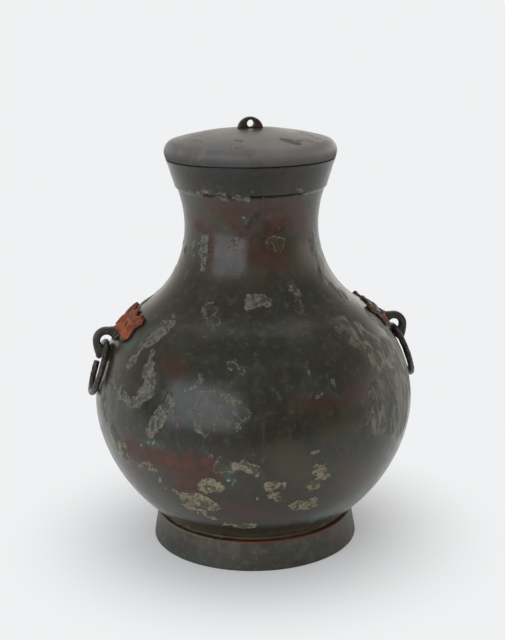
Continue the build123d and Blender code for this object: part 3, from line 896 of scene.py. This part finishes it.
lumps, _ = patch(tree, "lumps", wide, amount=20.0, soft=3.0)
ridge = node(tree, "Mapping", {"Vector": place, "Scale": (1.0, 1.0, 0.4)})
ridges = node(tree, "TexNoise", {"Vector": ridge, "Scale": per_mm(10), "Detail": 3.0, "Distortion": 0.8})
drips = node(tree, "MapRange", {0: ridges, 1: 0.47, 2: 0.6}, **SMOOTH)
lump_colour = node(tree, "Mix", {0: drips, 6: linear("#3e3c32"), 7: linear("#807d6d")}, 2, **COLOUR)
lump_colour = stained(tree, place, lump_colour, LUMP_STAINS)
lump_share = node(tree, "Math", {0: lumps, 1: 0.8}, **TIMES)
colour = node(tree, "Mix", {0: lump_share, 6: colour, 7: lump_colour}, 2, **COLOUR)
print(len(tree.nodes), "nodes with the lumps")

# %% Crusts
# The crusts are dull lime and tin salts. Noise that passes its middle level draws the fine winding
# lines in them, and the edge of each patch is a broken pale rim.
CRUST_STAINS = [
    (14, 0.42, 0.62, "#505047"),
    (4.5, 0.5, 0.7, "#3b3b33"),
    (1.6, 0.42, 0.3, "#1f1e18"),
]
PALE_START, PALE_FULL = 150, 85  # heights between which the crusts turn from grey to tan

crust, crust_depth = patch(tree, "crust", ragged, amount=8.0, soft=0.5)
winding = node(tree, "TexNoise", {"Vector": place, "Scale": per_mm(3), "Detail": 1.0, "Distortion": 1.0})
lines = threads(tree, winding, middle=0.5, width=0.17)
crust_rims = threads(tree, crust_depth, middle=0.7, width=0.9)
whole = node(tree, "Math", {0: lines, 1: crust_rims}, operation="MAXIMUM")
gaps = node(tree, "TexNoise", {"Vector": place, "Scale": per_mm(5.5), "Detail": 2.0})
broken = node(tree, "MapRange", {0: gaps, 1: 0.4, 2: 0.52}, **SMOOTH)
veins = node(tree, "Math", {0: whole, 1: broken}, **TIMES)

pale = node(tree, "MapRange", {0: rise, 1: PALE_START * MM, 2: PALE_FULL * MM}, **SMOOTH)
crust_base = node(tree, "Mix", {0: pale, 6: linear("#403f37"), 7: linear("#5a523d")}, 2, **COLOUR)
crust_colour = stained(tree, place, crust_base, CRUST_STAINS)
vein_colour = node(tree, "Mix", {0: pale, 6: linear("#75756a"), 7: linear("#978d73")}, 2, **COLOUR)
crust_colour = node(tree, "Mix", {0: veins, 6: crust_colour, 7: vein_colour}, 2, **COLOUR)
crust_colour = stained(tree, place, crust_colour, [(1.3, 0.64, 0.74, "#b9b6a8")])
colour = node(tree, "Mix", {0: crust, 6: colour, 7: crust_colour}, 2, **COLOUR)
print(len(tree.nodes), "nodes with the crusts")

# %% Lace and malachite
# Lace is the same salt, so thin that its rims alone show. Malachite is a bright green copper salt.
LINES_IN_LACE = 0.08  # share of the crusts' winding lines that shows inside
LACE_LEAST, LACE_MOST = 0.02, 0.95

lace, lace_depth = patch(tree, "lace", ragged, amount=13.0, soft=0.6)
lace_rims = threads(tree, lace_depth, middle=0.6, width=0.9)
faint = node(tree, "Math", {0: lines, 1: LINES_IN_LACE}, **TIMES)
lace_lines = node(tree, "Math", {0: lace_rims, 1: faint}, operation="MAXIMUM")
lace_lines = node(tree, "Math", {0: lace_lines, 1: broken}, **TIMES)
lace_share = node(tree, "MapRange", {0: lace_lines, 3: LACE_LEAST, 4: LACE_MOST})
lace_share = node(tree, "Math", {0: lace, 1: lace_share}, **TIMES)
lace_colour = stained(tree, place, linear("#7b7a6b"), [(1.3, 0.56, 0.68, "#c4c1b3")])
colour = node(tree, "Mix", {0: lace_share, 6: colour, 7: lace_colour}, 2, **COLOUR)

malachite, _ = patch(tree, "malachite", ragged, amount=4.0, soft=0.3)
green = stained(tree, place, linear("#5d9c83"), [(1.6, 0.5, 0.66, "#a9d8c2")])
colour = node(tree, "Mix", {0: malachite, 6: colour, 7: green}, 2, **COLOUR)
print(len(tree.nodes), "nodes with the lace")


# %% Gloss and relief of the body
def finish(material, colour, roughness, height, strength, pieces):
    """Joins colour, roughness and height in one shader and gives the material to pieces."""
    tree = material.node_tree
    relief = node(tree, "Bump", {"Strength": strength, "Distance": 0.5 * MM, "Height": height})
    skin = node(tree, "BsdfPrincipled", {"Base Color": colour, "Roughness": roughness, "Normal": relief})
    node(tree, "OutputMaterial", {"Surface": skin})
    for piece in pieces:
        piece.data.materials.clear()
        piece.data.materials.append(material)
    print(f"{material.name}: {len(tree.nodes)} nodes")


roughness = node(tree, "MapRange", {0: wide, 1: NOISE_LOW, 2: NOISE_HIGH, 3: 0.18, 4: 0.3})
salts = [(crease, 0.7), (cuprite, 0.5), (lump_share, 0.55), (lace_share, 0.65), (crust, 0.72)]
for share, salt_roughness in salts:
    roughness = node(tree, "Mix", {0: share, 2: roughness, 3: salt_roughness})
crust_height = node(tree, "Math", {0: veins, 1: 0.5, 2: 0.8}, operation="MULTIPLY_ADD")
height = node(tree, "Math", {0: crust, 1: crust_height}, **TIMES)
lump_height = node(tree, "Math", {0: lumps, 1: ridges}, **TIMES)
for form, amount in ((lump_height, 2.5), (lace_share, 0.5), (fine, 0.03), (ragged, 0.06)):
    height = node(tree, "Math", {0: form, 1: amount, 2: height}, operation="MULTIPLY_ADD")
finish(bronze, colour, roughness, height, 0.55, [body_piece])

# %% [markdown]
# ## Lid
# The lid is a shallow dome with a wide soft shoulder, a side that leans in to meet the mouth, and a
# spigot that drops inside it. A squashed sphere would come close, but the same chain of arcs and runs
# gives the true section, and a wide bevel rounds the shoulder. Scuffs are strokes in plan.

# %% Turn the lid
LID_CROWN = 25.0
LID_SPREAD = 3.7
LID_ROUND = 11.0  # worn rounder than the sharp model
LID_WALL = 3.0
DOME_RADIUS = 250.0
SPIGOT_DEPTH = 12.0
SPIGOT_WALL = 2.5
SPIGOT_CLEARANCE = 0.8
JOINT_SLOT = 0.8  # the lid touches the mouth on its inner part, so a dark slot shows
JOINT_DEPTH = 2.0
LID_STEPS = 288
LID_FINE = 1.7
SLOT_EDGE = 0.5
SPIGOT_EDGE = 0.6

crown = MOUTH_HEIGHT + LID_CROWN
dome_centre = (0, crown - DOME_RADIUS)
lid_radius = mouth_radius + LID_SPREAD
rim_turn = asin(lid_radius / DOME_RADIUS)
rim_height = dome_centre[1] + DOME_RADIUS * cos(rim_turn)
side_lean = atan2(LID_SPREAD, rim_height - MOUTH_HEIGHT)
lid_bevel = LID_ROUND * tan((pi / 2 + side_lean - rim_turn) / 2)
rim_span = 1.5 * lid_bevel / DOME_RADIUS
spigot_foot = MOUTH_HEIGHT - SPIGOT_DEPTH
spigot_top_radius = bore_radius - SPIGOT_CLEARANCE
spigot_foot_radius = flare_radius(spigot_foot, -WALL) - SPIGOT_CLEARANCE
hollow_radius = spigot_top_radius - SPIGOT_WALL
hollow_turn = asin(hollow_radius / (DOME_RADIUS - LID_WALL))
hollow_height = dome_centre[1] + (DOME_RADIUS - LID_WALL) * cos(hollow_turn)

lid_corners = [
    (mouth_radius, MOUTH_HEIGHT + JOINT_SLOT),
    (mouth_radius - JOINT_DEPTH, MOUTH_HEIGHT + JOINT_SLOT),
    (mouth_radius - JOINT_DEPTH, MOUTH_HEIGHT),
    (spigot_top_radius, MOUTH_HEIGHT),
    (spigot_foot_radius, spigot_foot),
    (spigot_foot_radius - SPIGOT_WALL, spigot_foot),
    (hollow_radius, MOUTH_HEIGHT),
    (hollow_radius, hollow_height),
]

lid, tip = start_section(0, crown)
tip = turn_about(lid, tip, dome_centre, rim_span - rim_turn, LID_FINE)
tip = turn_about(lid, tip, dome_centre, -rim_span, COARSE)
for corner in lid_corners:
    tip = run_to(lid, tip, *corner)
tip = turn_about(lid, tip, dome_centre, hollow_turn, COARSE)
turned(lid, LID_STEPS)
round_edges(lid, lid_radius, rim_height, lid_bevel, 10)
round_edges(lid, mouth_radius, MOUTH_HEIGHT + JOINT_SLOT, SLOT_EDGE)
round_edges(lid, spigot_foot_radius, spigot_foot, SPIGOT_EDGE)
lid_piece = keep_piece("bronze_lid", lid, "lid", "lid")

# %% Scuffs and stains on the lid
SCUFFS = [
    (9, [(20, -49), (27, -56)]),
    (6, [(32, -49)]),
    (2.4, [(40, -13), (49, -31), (54, -46)]),
    (2.2, [(46, -18), (59, -36)]),
    (2.2, [(36, -42), (48, -50)]),
    (2.2, [(-27, -60), (-18, -63)]),
    (3, [(-20, -46), (-16, -50)]),
    (2.4, [(-52, -20), (-46, -34)]),
    (7, [(-30, 30), (-20, 42)]),
    (2.6, [(8, 46), (32, 40)]),
]
# Pale patches on the dome: partly rubbed wear, partly painted sheen.
WEAR_AND_SHEEN_STROKES = [
    (46, [(24, -44), (46, -18), (40, 10)]),
    (34, [(14, -64), (40, -56), (60, -38)]),
    (30, [(-30, -30), (-8, -44)]),
    (40, [(-30, 34), (10, 44)]),
]
DENT_SIZE, DENT_DEPTH = 30.0, 0.25
LOOP_STAIN = [(13, [(-4, -9), (3, -17), (6, -9)]), (9, [(5, 8), (-3, 13)])]


def dome_place(x, y):
    """A point on the lid's dome, in millimetres."""
    return np.array([x, y, dome_centre[1] + sqrt(DOME_RADIUS**2 - x**2 - y**2)])


points = vertex_places(lid_piece.data)
shifted = points + drift(points, 6.0, 2.0)
for name, strokes in (("scuff", SCUFFS), ("rubbed", WEAR_AND_SHEEN_STROKES), ("loop_stain", LOOP_STAIN)):
    store(lid_piece.data, name, stroke_field(shifted, strokes, dome_place))
over_joint = points[:, 2] > MOUTH_HEIGHT + 3
dent = DENT_DEPTH * np.clip(0.5 + 0.6 * swell(points, DENT_SIZE), 0, 1) * over_joint
move_to(lid_piece.data, sunk(lid_piece.data, points, dent))
print(len(SCUFFS), "scuffs, dents up to", round(dent.max(), 2), "mm")

# %% [markdown]
# ## Foot ring and solder
# The foot was cast by itself and soldered on, and a rough bead of the solder still fills the crease.
# Both are turned like the body. The bead alone is uneven, so its vertices are pushed in by noise.
# Along the foot's upper edge a red line shows in front and a pale one at the left, and green salts
# grew where its base stood damp.

# %% Turn the foot
FOOT_HEIGHT = 25.0
FOOT_LEDGE = 6.5
FOOT_FLARE = 4.3
FOOT_WALL = 4.5
FOOT_EDGE = 1.2
SEAT_WIDTH = 3.2
FLANGE_THICKNESS = 3.0
SOLDER_GAP = 0.1
seat_arc = LOWER_ARC + SOLDER_GAP


def under_belly(radius):
    """Height, just below the lower belly, at a radius."""
    return lower_centre[1] - sqrt(seat_arc**2 - (radius - lower_centre[0]) ** 2)


def belly_turn(radius):
    """Angle about the lower belly's centre of the place at a radius."""
    return atan2(under_belly(radius) - lower_centre[1], radius - lower_centre[0])


seam_radius = lower_centre[0] + sqrt(seat_arc**2 - (lower_centre[1] - FOOT_HEIGHT) ** 2)
foot_top = seam_radius + FOOT_LEDGE
foot_base = foot_top + FOOT_FLARE
flange_radius = seam_radius - SEAT_WIDTH
flange_top = under_belly(flange_radius)
flange_foot = flange_top - FLANGE_THICKNESS

foot_corners = [
    (foot_base - FOOT_WALL, 0),
    (foot_base - FOOT_WALL - FOOT_FLARE * flange_foot / FOOT_HEIGHT, flange_foot),
    (flange_radius, flange_foot),
    (flange_radius, flange_top),
]

foot, tip = start_section(flange_radius, flange_top)
tip = turn_about(foot, tip, lower_centre, belly_turn(seam_radius) - belly_turn(flange_radius), COARSE)
tip = run_to(foot, tip, foot_top, FOOT_HEIGHT)
tip = run_to(foot, tip, foot_base, 0, FINE)
for corner in foot_corners:
    tip = run_to(foot, tip, *corner)
turned(foot, LID_STEPS)
round_edges(foot, foot_top, FOOT_HEIGHT, FOOT_EDGE)
round_edges(foot, foot_base, 0, FOOT_EDGE)
foot_piece = keep_piece("bronze_foot", foot, "vessel", "foot_ring")

# %% Turn the bead
BEAD_WIDTH = 3.2
BEAD_FINE = 0.6
BEAD_WEAR = 0.02  # largest share of its radius that the bead loses
bead_radius = seam_radius + BEAD_WIDTH

bead, tip = start_section(seam_radius, FOOT_HEIGHT)
tip = turn_about(bead, tip, lower_centre, belly_turn(bead_radius) - belly_turn(seam_radius), BEAD_FINE)
tip = run_to(bead, tip, bead_radius, FOOT_HEIGHT, BEAD_FINE)
tip = run_to(bead, tip, seam_radius, FOOT_HEIGHT, BEAD_FINE)
turned(bead, TURN_STEPS)
bead_piece = keep_piece("solder_bead", bead, "vessel", "foot_solder")
points = vertex_places(bead_piece.data)
free = np.clip((np.hypot(points[:, 0], points[:, 1]) - seam_radius) / BEAD_WIDTH, 0, 1)
points[:, :2] *= (1 - free * np.clip(0.6 + 0.5 * swell(points, 9.0), 0, 1) * BEAD_WEAR)[:, None]
move_to(bead_piece.data, points)

# %% Salts and edge lines on the foot
FOOT_GREEN = [
    (9, [(-76, 5), (-62, 2)]),
    (10, [(-52, 3), (-40, 3)]),
    (6, [(-31, 7)]),
    (5, [(-36, 10)]),
    (6, [(-70, 14)]),
    (7, [(30, 5), (38, 7)]),
    (10, [(120, 4), (140, 3)]),
    (9, [(210, 6), (228, 2)]),
]
RED_MIDDLE, RED_REACH = 4, 40  # bearing of the red line's middle and its half length, in degrees
RED_BEHIND = 140  # bearing past which it shows again on the far side
PALE_MIDDLE, PALE_REACH = -55, 22


def foot_place(bearing, height):
    """A point on the foot's side."""
    return round_place(bearing, foot_base - FOOT_FLARE * height / FOOT_HEIGHT, height)


points = vertex_places(foot_piece.data)
turns = bearings(points)
uneven = 0.5 * swell(points, 14.0)
behind = np.where(np.abs(turns) > RED_BEHIND, 0.6, -1.0)
red = np.maximum(1 - np.abs(turns - RED_MIDDLE) / RED_REACH, behind)
pale = 1 - np.abs(turns - PALE_MIDDLE) / PALE_REACH
shifted = points + drift(points, 6.0, 2.5)
store(foot_piece.data, "foot_green", stroke_field(shifted, FOOT_GREEN, foot_place))
store(foot_piece.data, "red_edge", red + uneven)
store(foot_piece.data, "pale_edge", pale + uneven)
print(len(FOOT_GREEN), "green patches on the foot")

# %% [markdown]
# ## Loop and beast masks
# These were modelled in wax and cast, so every edge is soft and worn. Their solids are already right
# in the CAD. A copy of each is merged, remeshed to an even fine skin and smoothed like wax. Sculpting
# by hand would do the same, but not the same way twice. How far each vertex stands above the smoothed
# skin is kept, because dirt stays in the hollows and hands rub the ridges.


# %% Soften copies of the cast ornaments
def smoothed(mesh, rounds):
    """Vertex places of a mesh after rounds of smoothing, in millimetres."""
    shape = bmesh.new()
    shape.from_mesh(mesh)
    for _ in range(rounds):
        bmesh.ops.smooth_vert(
            shape, verts=shape.verts, factor=0.5, use_axis_x=True, use_axis_y=True, use_axis_z=True
        )
    places = np.array([vert.co / MM for vert in shape.verts])
    shape.free()
    return places


def cast_copy(name, cad_node, body_name, slot, voxel, rounds):
    """A merged copy of a CAD node, remeshed to an even skin and smoothed."""
    shape = bmesh.new()
    shape.from_mesh(frame["nodes"][cad_node].data)
    bmesh.ops.remove_doubles(shape, verts=shape.verts, dist=0.002 * MM)
    piece = keep_piece(name, shape, body_name, cad_node)
    skin = piece.modifiers.new("even_skin", "REMESH")
    skin.mode = "VOXEL"
    skin.voxel_size = voxel * MM
    depsgraph = bpy.context.evaluated_depsgraph_get()
    piece.data = bpy.data.meshes.new_from_object(piece.evaluated_get(depsgraph))
    piece.modifiers.clear()
    piece.data.polygons.foreach_set("use_smooth", [True] * len(piece.data.polygons))
    move_to(piece.data, smoothed(piece.data, rounds))
    proud = vertex_places(piece.data) - smoothed(piece.data, 8)
    store(piece.data, "proud", np.einsum("ij,ij->i", proud, vertex_normals(piece.data)))
    piece.data.calc_loop_triangles()
    print(f"{name}: {len(piece.data.loop_triangles)} triangles after the remesh")
    return piece


RING_PIVOT = (127.168, 181.954)  # radius and height of the ring's middle in the curled nose
NOSE_REACH = 13.0  # how far from there the bare nose goes
PLATE_FADE = 5.0
RUST_REACH = 18.0

loop_piece = cast_copy("bronze_loop", "lid_loop", "lid", "loop_bronze", voxel=0.35, rounds=3)
mask_pieces = []
for side, side_name, redness in ((-1, "left", 0.9), (1, "right", -0.1)):
    names = (f"{side_name}_beast_mask", f"{side_name}_mask")
    mask = cast_copy(*names, "vessel", "mask_bronze", voxel=0.5, rounds=4)
    points = vertex_places(mask.data)
    away = np.hypot(points[:, 0] - side * RING_PIVOT[0], points[:, 2] - RING_PIVOT[1])
    plate = np.clip((away - NOSE_REACH) / PLATE_FADE, 0, 1)
    store(mask.data, "oxide", plate * (1 + redness) - 1 + 0.35 * plate * swell(points, 9.0))
    store(mask.data, "rust", np.clip(1 - (away - NOSE_REACH) / RUST_REACH, 0, 1))
    mask_pieces.append(mask)

# %% [markdown]
# ## Rings
# Each ring is a hammered wire, and the left one has sprung open at its joint. A torus primitive would
# be too even. A circle is spun round the ring's axis, a full turn or short of one, and the wire is
# worn thinner here and there by noise.

# %% Spin the rings
RING_RADIUS = 22.5
RING_WIRE = 2.8
RING_LEAN = radians(19.1)
RING_JOINT = radians(88)
RING_JOINT_GAP = 3.0 / RING_RADIUS
RING_STEPS = 144
RING_EDGE = 0.8
RING_WEAR = 0.3


def ring(name, side, gap, body_name, cad_node):
    """A ring on the left, side -1, or the right, side 1, open by a gap in radians."""
    shape = bmesh.new()
    wire_end = Matrix.Translation((RING_RADIUS * MM, 0, 0)) @ Matrix.Rotation(pi / 2, 4, "X")
    bmesh.ops.create_circle(shape, segments=28, radius=RING_WIRE * MM, matrix=wire_end)
    bmesh.ops.spin(
        shape,
        geom=shape.verts[:] + shape.edges[:],
        cent=(0, 0, 0),
        axis=(0, 0, 1),
        angle=2 * pi - gap,
        steps=RING_STEPS,
        use_merge=gap == 0,
    )
    ends = [edge for edge in shape.edges if edge.is_boundary]
    if ends:
        bmesh.ops.holes_fill(shape, edges=ends, sides=0)
        bmesh.ops.bevel(
            shape, geom=ends, offset=RING_EDGE * MM, segments=3, profile=0.5, affect="EDGES", material=-1
        )
    bmesh.ops.recalc_face_normals(shape, faces=shape.faces)
    up = Vector((-side * sin(RING_LEAN), 0, cos(RING_LEAN)))
    across = Vector((0, 1, 0))
    middle = (Vector((side * RING_PIVOT[0], 0, RING_PIVOT[1])) - up * RING_RADIUS) * MM
    hang = Matrix.Translation(middle) @ Matrix((up, across, up.cross(across))).transposed().to_4x4()
    hang = hang @ Matrix.Rotation(RING_JOINT + gap / 2, 4, "Z")
    bmesh.ops.transform(shape, matrix=hang, verts=shape.verts)
    piece = keep_piece(name, shape, body_name, cad_node)
    points = vertex_places(piece.data)
    worn = RING_WEAR * np.clip(0.5 + 0.7 * swell(points, 5.0), 0, 1)
    move_to(piece.data, sunk(piece.data, points, worn))
    return piece


ring_pieces = [
    ring("left_handle_ring", -1, RING_JOINT_GAP, "left_ring", "left_ring"),
    ring("right_handle_ring", 1, 0.0, "right_ring", "right_ring"),
]

# %% [markdown]
# ## Finishes of the lid and loop
# The lid was cast like the body and rubbed by many hands, so its oxide is paler and greyer, with
# faint rings from wiping it round, dark scuffs, and dull grime down by the joint. Light and shade are
# also painted into its colour: a lighter top of the dome, pale patches that are partly painted sheen,
# and a darker side down by the joint. The loop is darker, and red at its roots.

# %% Rubbed lid
# Rubbed cast bronze: a thin worn oxide with a broad soft sheen.
LID_STAINS = [
    (60, 0.42, 0.62, "#585452"),
    (34, 0.5, 0.66, "#575756"),
    (14, 0.52, 0.7, "#6c6a67"),
    (5, 0.58, 0.72, "#706e6a"),
    (2.2, 0.36, 0.24, "#3d3935"),
    (1.3, 0.7, 0.78, "#a3a19b"),
]
WIPING = [(2.2, 0.54, 0.74, "#7a7773"), (4, 0.56, 0.72, "#4c4845")]
WIPING_WAVE = 14
SCUFF_STAINS = [(4, 0.5, 0.66, "#4a3026"), (2, 0.56, 0.7, "#5b554c")]
# Heights of the painted shade that darkens the side down by the joint, where grime also makes it dull.
# The first zone below is painted light over the top of the dome.
GRIME_AND_SHADE_START, GRIME_AND_SHADE_FULL = 347, 338
LID_LIGHT_AND_SHADE = [(340, 350, 0.3, "#8a8785"), (GRIME_AND_SHADE_START, GRIME_AND_SHADE_FULL, 0.5, "#36322f")]

rubbed, tree, place = start_material("rubbed_cast_bronze")
wide = node(tree, "TexNoise", {"Vector": place, "Scale": per_mm(16), "Detail": 4.0, "Roughness": 0.6})
ragged = node(tree, "TexNoise", {"Vector": place, "Scale": per_mm(3), "Detail": 4.0, "Roughness": 0.65})
level = node(tree, "VectorMath", {0: place, 1: (1.0, 1.0, 0.0)}, **TIMES)
out = node(tree, "VectorMath", {0: level}, "Value", operation="LENGTH")
wavy = node(tree, "Math", {0: wide, 1: WIPING_WAVE * MM, 2: out}, operation="MULTIPLY_ADD")
rings = node(tree, "CombineXYZ", {0: wavy})
colour = stained(tree, place, linear("#636160"), LID_STAINS)
colour = stained(tree, rings, colour, WIPING)
# Pale patches, partly rubbed wear and partly painted sheen.
wear_and_sheen, _ = patch(tree, "rubbed", wide, amount=20.0, soft=12.0, most=0.6)
colour = node(tree, "Mix", {0: wear_and_sheen, 6: colour, 7: linear("#8f8c89")}, 2, **COLOUR)
rise = node(tree, "SeparateXYZ", {0: place}, "Z")
# Painted light over the top of the dome, painted shade down by the joint.
colour = zoned(tree, rise, colour, LID_LIGHT_AND_SHADE, MM)
scuff, _ = patch(tree, "scuff", ragged, amount=7.0, soft=0.8)
scuffed = stained(tree, place, linear("#352b23"), SCUFF_STAINS)
colour = node(tree, "Mix", {0: scuff, 6: colour, 7: scuffed}, 2, **COLOUR)
stain, _ = patch(tree, "loop_stain", wide, amount=12.0, soft=5.0, most=0.75)
colour = node(tree, "Mix", {0: stain, 6: colour, 7: linear("#35261f")}, 2, **COLOUR)
roughness = node(tree, "MapRange", {0: wide, 1: NOISE_LOW, 2: NOISE_HIGH, 3: 0.3, 4: 0.42})
grime = node(tree, "MapRange", {0: rise, 1: GRIME_AND_SHADE_START * MM, 2: GRIME_AND_SHADE_FULL * MM}, **SMOOTH)
roughness = node(tree, "Mix", {0: grime, 2: roughness, 3: 0.75})
height = node(tree, "Math", {0: scuff, 1: -0.6, 2: ragged}, operation="MULTIPLY_ADD")
finish(rubbed, colour, roughness, height, 0.12, [lid_piece])

# %% Cast loop
# Thick cast bronze that fingers and cords have polished: dark, smooth and fairly glossy.
LOOP_STAINS = [(7, 0.46, 0.62, "#39332a"), (2.4, 0.58, 0.72, "#57514a")]
ROOT_START, ROOT_FULL = 6.5, 3.5  # heights over the crown between which the red starts
ROOT_WAVE = 6
dark_cast, tree, place = start_material("finger_worn_cast_bronze")
blotch = node(tree, "TexNoise", {"Vector": place, "Scale": per_mm(4), "Detail": 4.0})
colour = stained(tree, place, linear("#2c2922"), LOOP_STAINS)
rise = node(tree, "SeparateXYZ", {0: place}, "Z")
wavy = node(tree, "Math", {0: blotch, 1: ROOT_WAVE * MM, 2: rise}, operation="MULTIPLY_ADD")
edges = {0: wavy, 1: (crown + ROOT_START) * MM, 2: (crown + ROOT_FULL) * MM}
root = node(tree, "MapRange", edges, **SMOOTH)
across = node(tree, "SeparateXYZ", {0: place}, "X")
right = node(tree, "MapRange", {0: across, 1: -4 * MM, 2: 4 * MM, 3: 0.25, 4: 0.9})
root = node(tree, "Math", {0: root, 1: right}, **TIMES)
colour = node(tree, "Mix", {0: root, 6: colour, 7: linear("#552620")}, 2, **COLOUR)
roughness = node(tree, "MapRange", {0: blotch, 1: NOISE_LOW, 2: NOISE_HIGH, 3: 0.32, 4: 0.5})
finish(dark_cast, colour, roughness, blotch, 0.3, [loop_piece])

# %% [markdown]
# ## Finishes of the foot and solder
# The foot has the body's skin, browner and duller from handling, with its red and pale edge lines and
# the green salts. The solder is a soft grey alloy that has gone dark and crumbly in the crease.

# %% Dull foot
# Patinated cast bronze, less polished than the body, so duller.
FOOT_STAINS = [
    (50, 0.42, 0.6, "#40372d"),
    (30, 0.5, 0.64, "#343c33"),
    (15, 0.52, 0.68, "#4a473c"),
    (6, 0.56, 0.7, "#524f43"),
    (2.2, 0.36, 0.24, "#1d1b15"),
    (1.4, 0.69, 0.77, "#7c7867"),
]
GREEN_STAINS = [(3, 0.58, 0.68, "#55776a"), (1.6, 0.66, 0.74, "#a3c4b5")]
WORN_START, WORN_FULL, WORN_SHARE = 9, 22, 0.55
EDGE_OUT = (1.6, 0.8)  # distances in from the foot's upper edge where its lines start and are full
EDGE_UP = (1.5, 0.7)  # the same, up the side
EDGE_LINES = (("pale_edge", "#6f6b55"), ("red_edge", "#783d29"))
dull, tree, place = start_material("dull_cast_bronze")
look = {"Vector": place, "Scale": per_mm(3.5), "Detail": 4.0, "Roughness": 0.65}
ragged = node(tree, "TexNoise", look)
blotch = node(tree, "TexNoise", {"Vector": place, "Scale": per_mm(11), "Detail": 4.0})
colour = stained(tree, place, linear("#36332a"), FOOT_STAINS)
green, _ = patch(tree, "foot_green", ragged, amount=9.0, soft=1.2, most=0.7)
salts = stained(tree, place, linear("#36433a"), GREEN_STAINS)
colour = node(tree, "Mix", {0: green, 6: colour, 7: salts}, 2, **COLOUR)
level = node(tree, "VectorMath", {0: place, 1: (1.0, 1.0, 0.0)}, **TIMES)
out = node(tree, "VectorMath", {0: level}, "Value", operation="LENGTH")
rise = node(tree, "SeparateXYZ", {0: place}, "Z")
worn = node(tree, "MapRange", {0: blotch, 1: 0.42, 2: 0.62, 4: WORN_SHARE}, **SMOOTH)
high = node(tree, "MapRange", {0: rise, 1: WORN_START * MM, 2: WORN_FULL * MM}, **SMOOTH)
worn = node(tree, "Math", {0: worn, 1: high}, **TIMES)
colour = node(tree, "Mix", {0: worn, 6: colour, 7: linear("#5f5846")}, 2, **COLOUR)
edge = 1.0
for value, limit, (start, full) in ((out, foot_top, EDGE_OUT), (rise, FOOT_HEIGHT, EDGE_UP)):
    reach = {0: value, 1: (limit - start) * MM, 2: (limit - full) * MM}
    near = node(tree, "MapRange", reach, **SMOOTH)
    edge = node(tree, "Math", {0: near, 1: edge}, **TIMES)
for name, tone in EDGE_LINES:
    share, _ = patch(tree, name, ragged, amount=1.6, soft=0.3)
    share = node(tree, "Math", {0: share, 1: edge}, **TIMES)
    colour = node(tree, "Mix", {0: share, 6: colour, 7: linear(tone)}, 2, **COLOUR)
roughness = node(tree, "MapRange", {0: blotch, 1: NOISE_LOW, 2: NOISE_HIGH, 3: 0.4, 4: 0.55})
finish(dull, colour, roughness, ragged, 0.25, [foot_piece])

# %% Crumbly solder
# Oxidised tin-lead solder: dark, soft and dull, with brown salts.
SOLDER_STAINS = [(9, 0.5, 0.64, "#5f4632"), (3, 0.56, 0.7, "#6b614b")]
solder, tree, place = start_material("oxidised_tin_solder")
blotch = node(tree, "TexNoise", {"Vector": place, "Scale": per_mm(5), "Detail": 4.0})
colour = stained(tree, place, linear("#554a35"), SOLDER_STAINS)
roughness = node(tree, "MapRange", {0: blotch, 1: NOISE_LOW, 2: NOISE_HIGH, 3: 0.6, 4: 0.8})
finish(solder, colour, roughness, blotch, 0.5, [bead_piece])

# %% [markdown]
# ## Finishes of the handles
# The masks corroded most: a crust of red oxide over the plates, thick on the left and in spots on the
# right, while the curled noses were rubbed dark by the rings. The rings are bare dark wire.

# %% Encrusted masks
# Encrusted cast bronze: dull and earthy, with dirt in the hollows and rubbed ridges.
RED_STAINS = [
    (9, 0.44, 0.6, "#994a2a"),
    (14, 0.52, 0.64, "#6d342c"),
    (5, 0.56, 0.68, "#b85f33"),
    (2.2, 0.6, 0.7, "#c0977a"),
    (1.5, 0.38, 0.28, "#2b1811"),
]
BARE_STAINS = [(7, 0.46, 0.62, "#444036"), (2.2, 0.58, 0.7, "#5e5a4e")]
ORANGE_STAINS = [(4, 0.52, 0.66, "#7c3a24"), (2, 0.6, 0.7, "#cf8458")]
PROUD_ZONES = [(-0.02, -0.22, 0.55, "#1e1712"), (0.05, 0.3, 0.35, "#8d7a66")]  # hollows, then ridges
encrusted, tree, place = start_material("encrusted_cast_bronze")
ragged = node(tree, "TexNoise", {"Vector": place, "Scale": per_mm(4), "Detail": 4.0, "Roughness": 0.65})
colour = stained(tree, place, linear("#35312a"), BARE_STAINS)
red = stained(tree, place, linear("#6e3422"), RED_STAINS)
rust = node(tree, "Attribute", output="Fac", attribute_name="rust")
rust = node(tree, "Math", {0: rust, 1: 0.8}, **TIMES)
orange = stained(tree, place, linear("#b0552c"), ORANGE_STAINS)
red = node(tree, "Mix", {0: rust, 6: red, 7: orange}, 2, **COLOUR)
oxide, _ = patch(tree, "oxide", ragged, amount=2.6, soft=0.22)
colour = node(tree, "Mix", {0: oxide, 6: colour, 7: red}, 2, **COLOUR)
proud = node(tree, "Attribute", output="Fac", attribute_name="proud")
colour = zoned(tree, proud, colour, PROUD_ZONES)
roughness = node(tree, "Mix", {0: oxide, 2: 0.42, 3: 0.75})
finish(encrusted, colour, roughness, ragged, 0.5, mask_pieces)

# %% Hammered rings
# Hammered bronze wire: a tight dark oxide that shines in small uneven spots. Its lighter stains are
# partly painted highlights.
WIRE_STAINS_AND_GLINTS = [
    (8, 0.45, 0.6, "#3b352c"),
    # Lighter stains, partly painted highlights.
    (4, 0.52, 0.66, "#545047"),
    (1.6, 0.6, 0.72, "#7d776b"),
    (1.2, 0.36, 0.26, "#14120e"),
]
wire, tree, place = start_material("hammered_bronze_wire")
blotch = node(tree, "TexNoise", {"Vector": place, "Scale": per_mm(3), "Detail": 4.0})
colour = stained(tree, place, linear("#2a2620"), WIRE_STAINS_AND_GLINTS)
roughness = node(tree, "MapRange", {0: blotch, 1: NOISE_LOW, 2: NOISE_HIGH, 3: 0.24, 4: 0.46})
finish(wire, colour, roughness, blotch, 0.5, ring_pieces)

# %% Compare the boxes and finish
dressed_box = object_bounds()
changes = (np.array(dressed_box) - np.array(cad_box)) / MM
print("corners moved by mm:", changes.round(2).tolist())
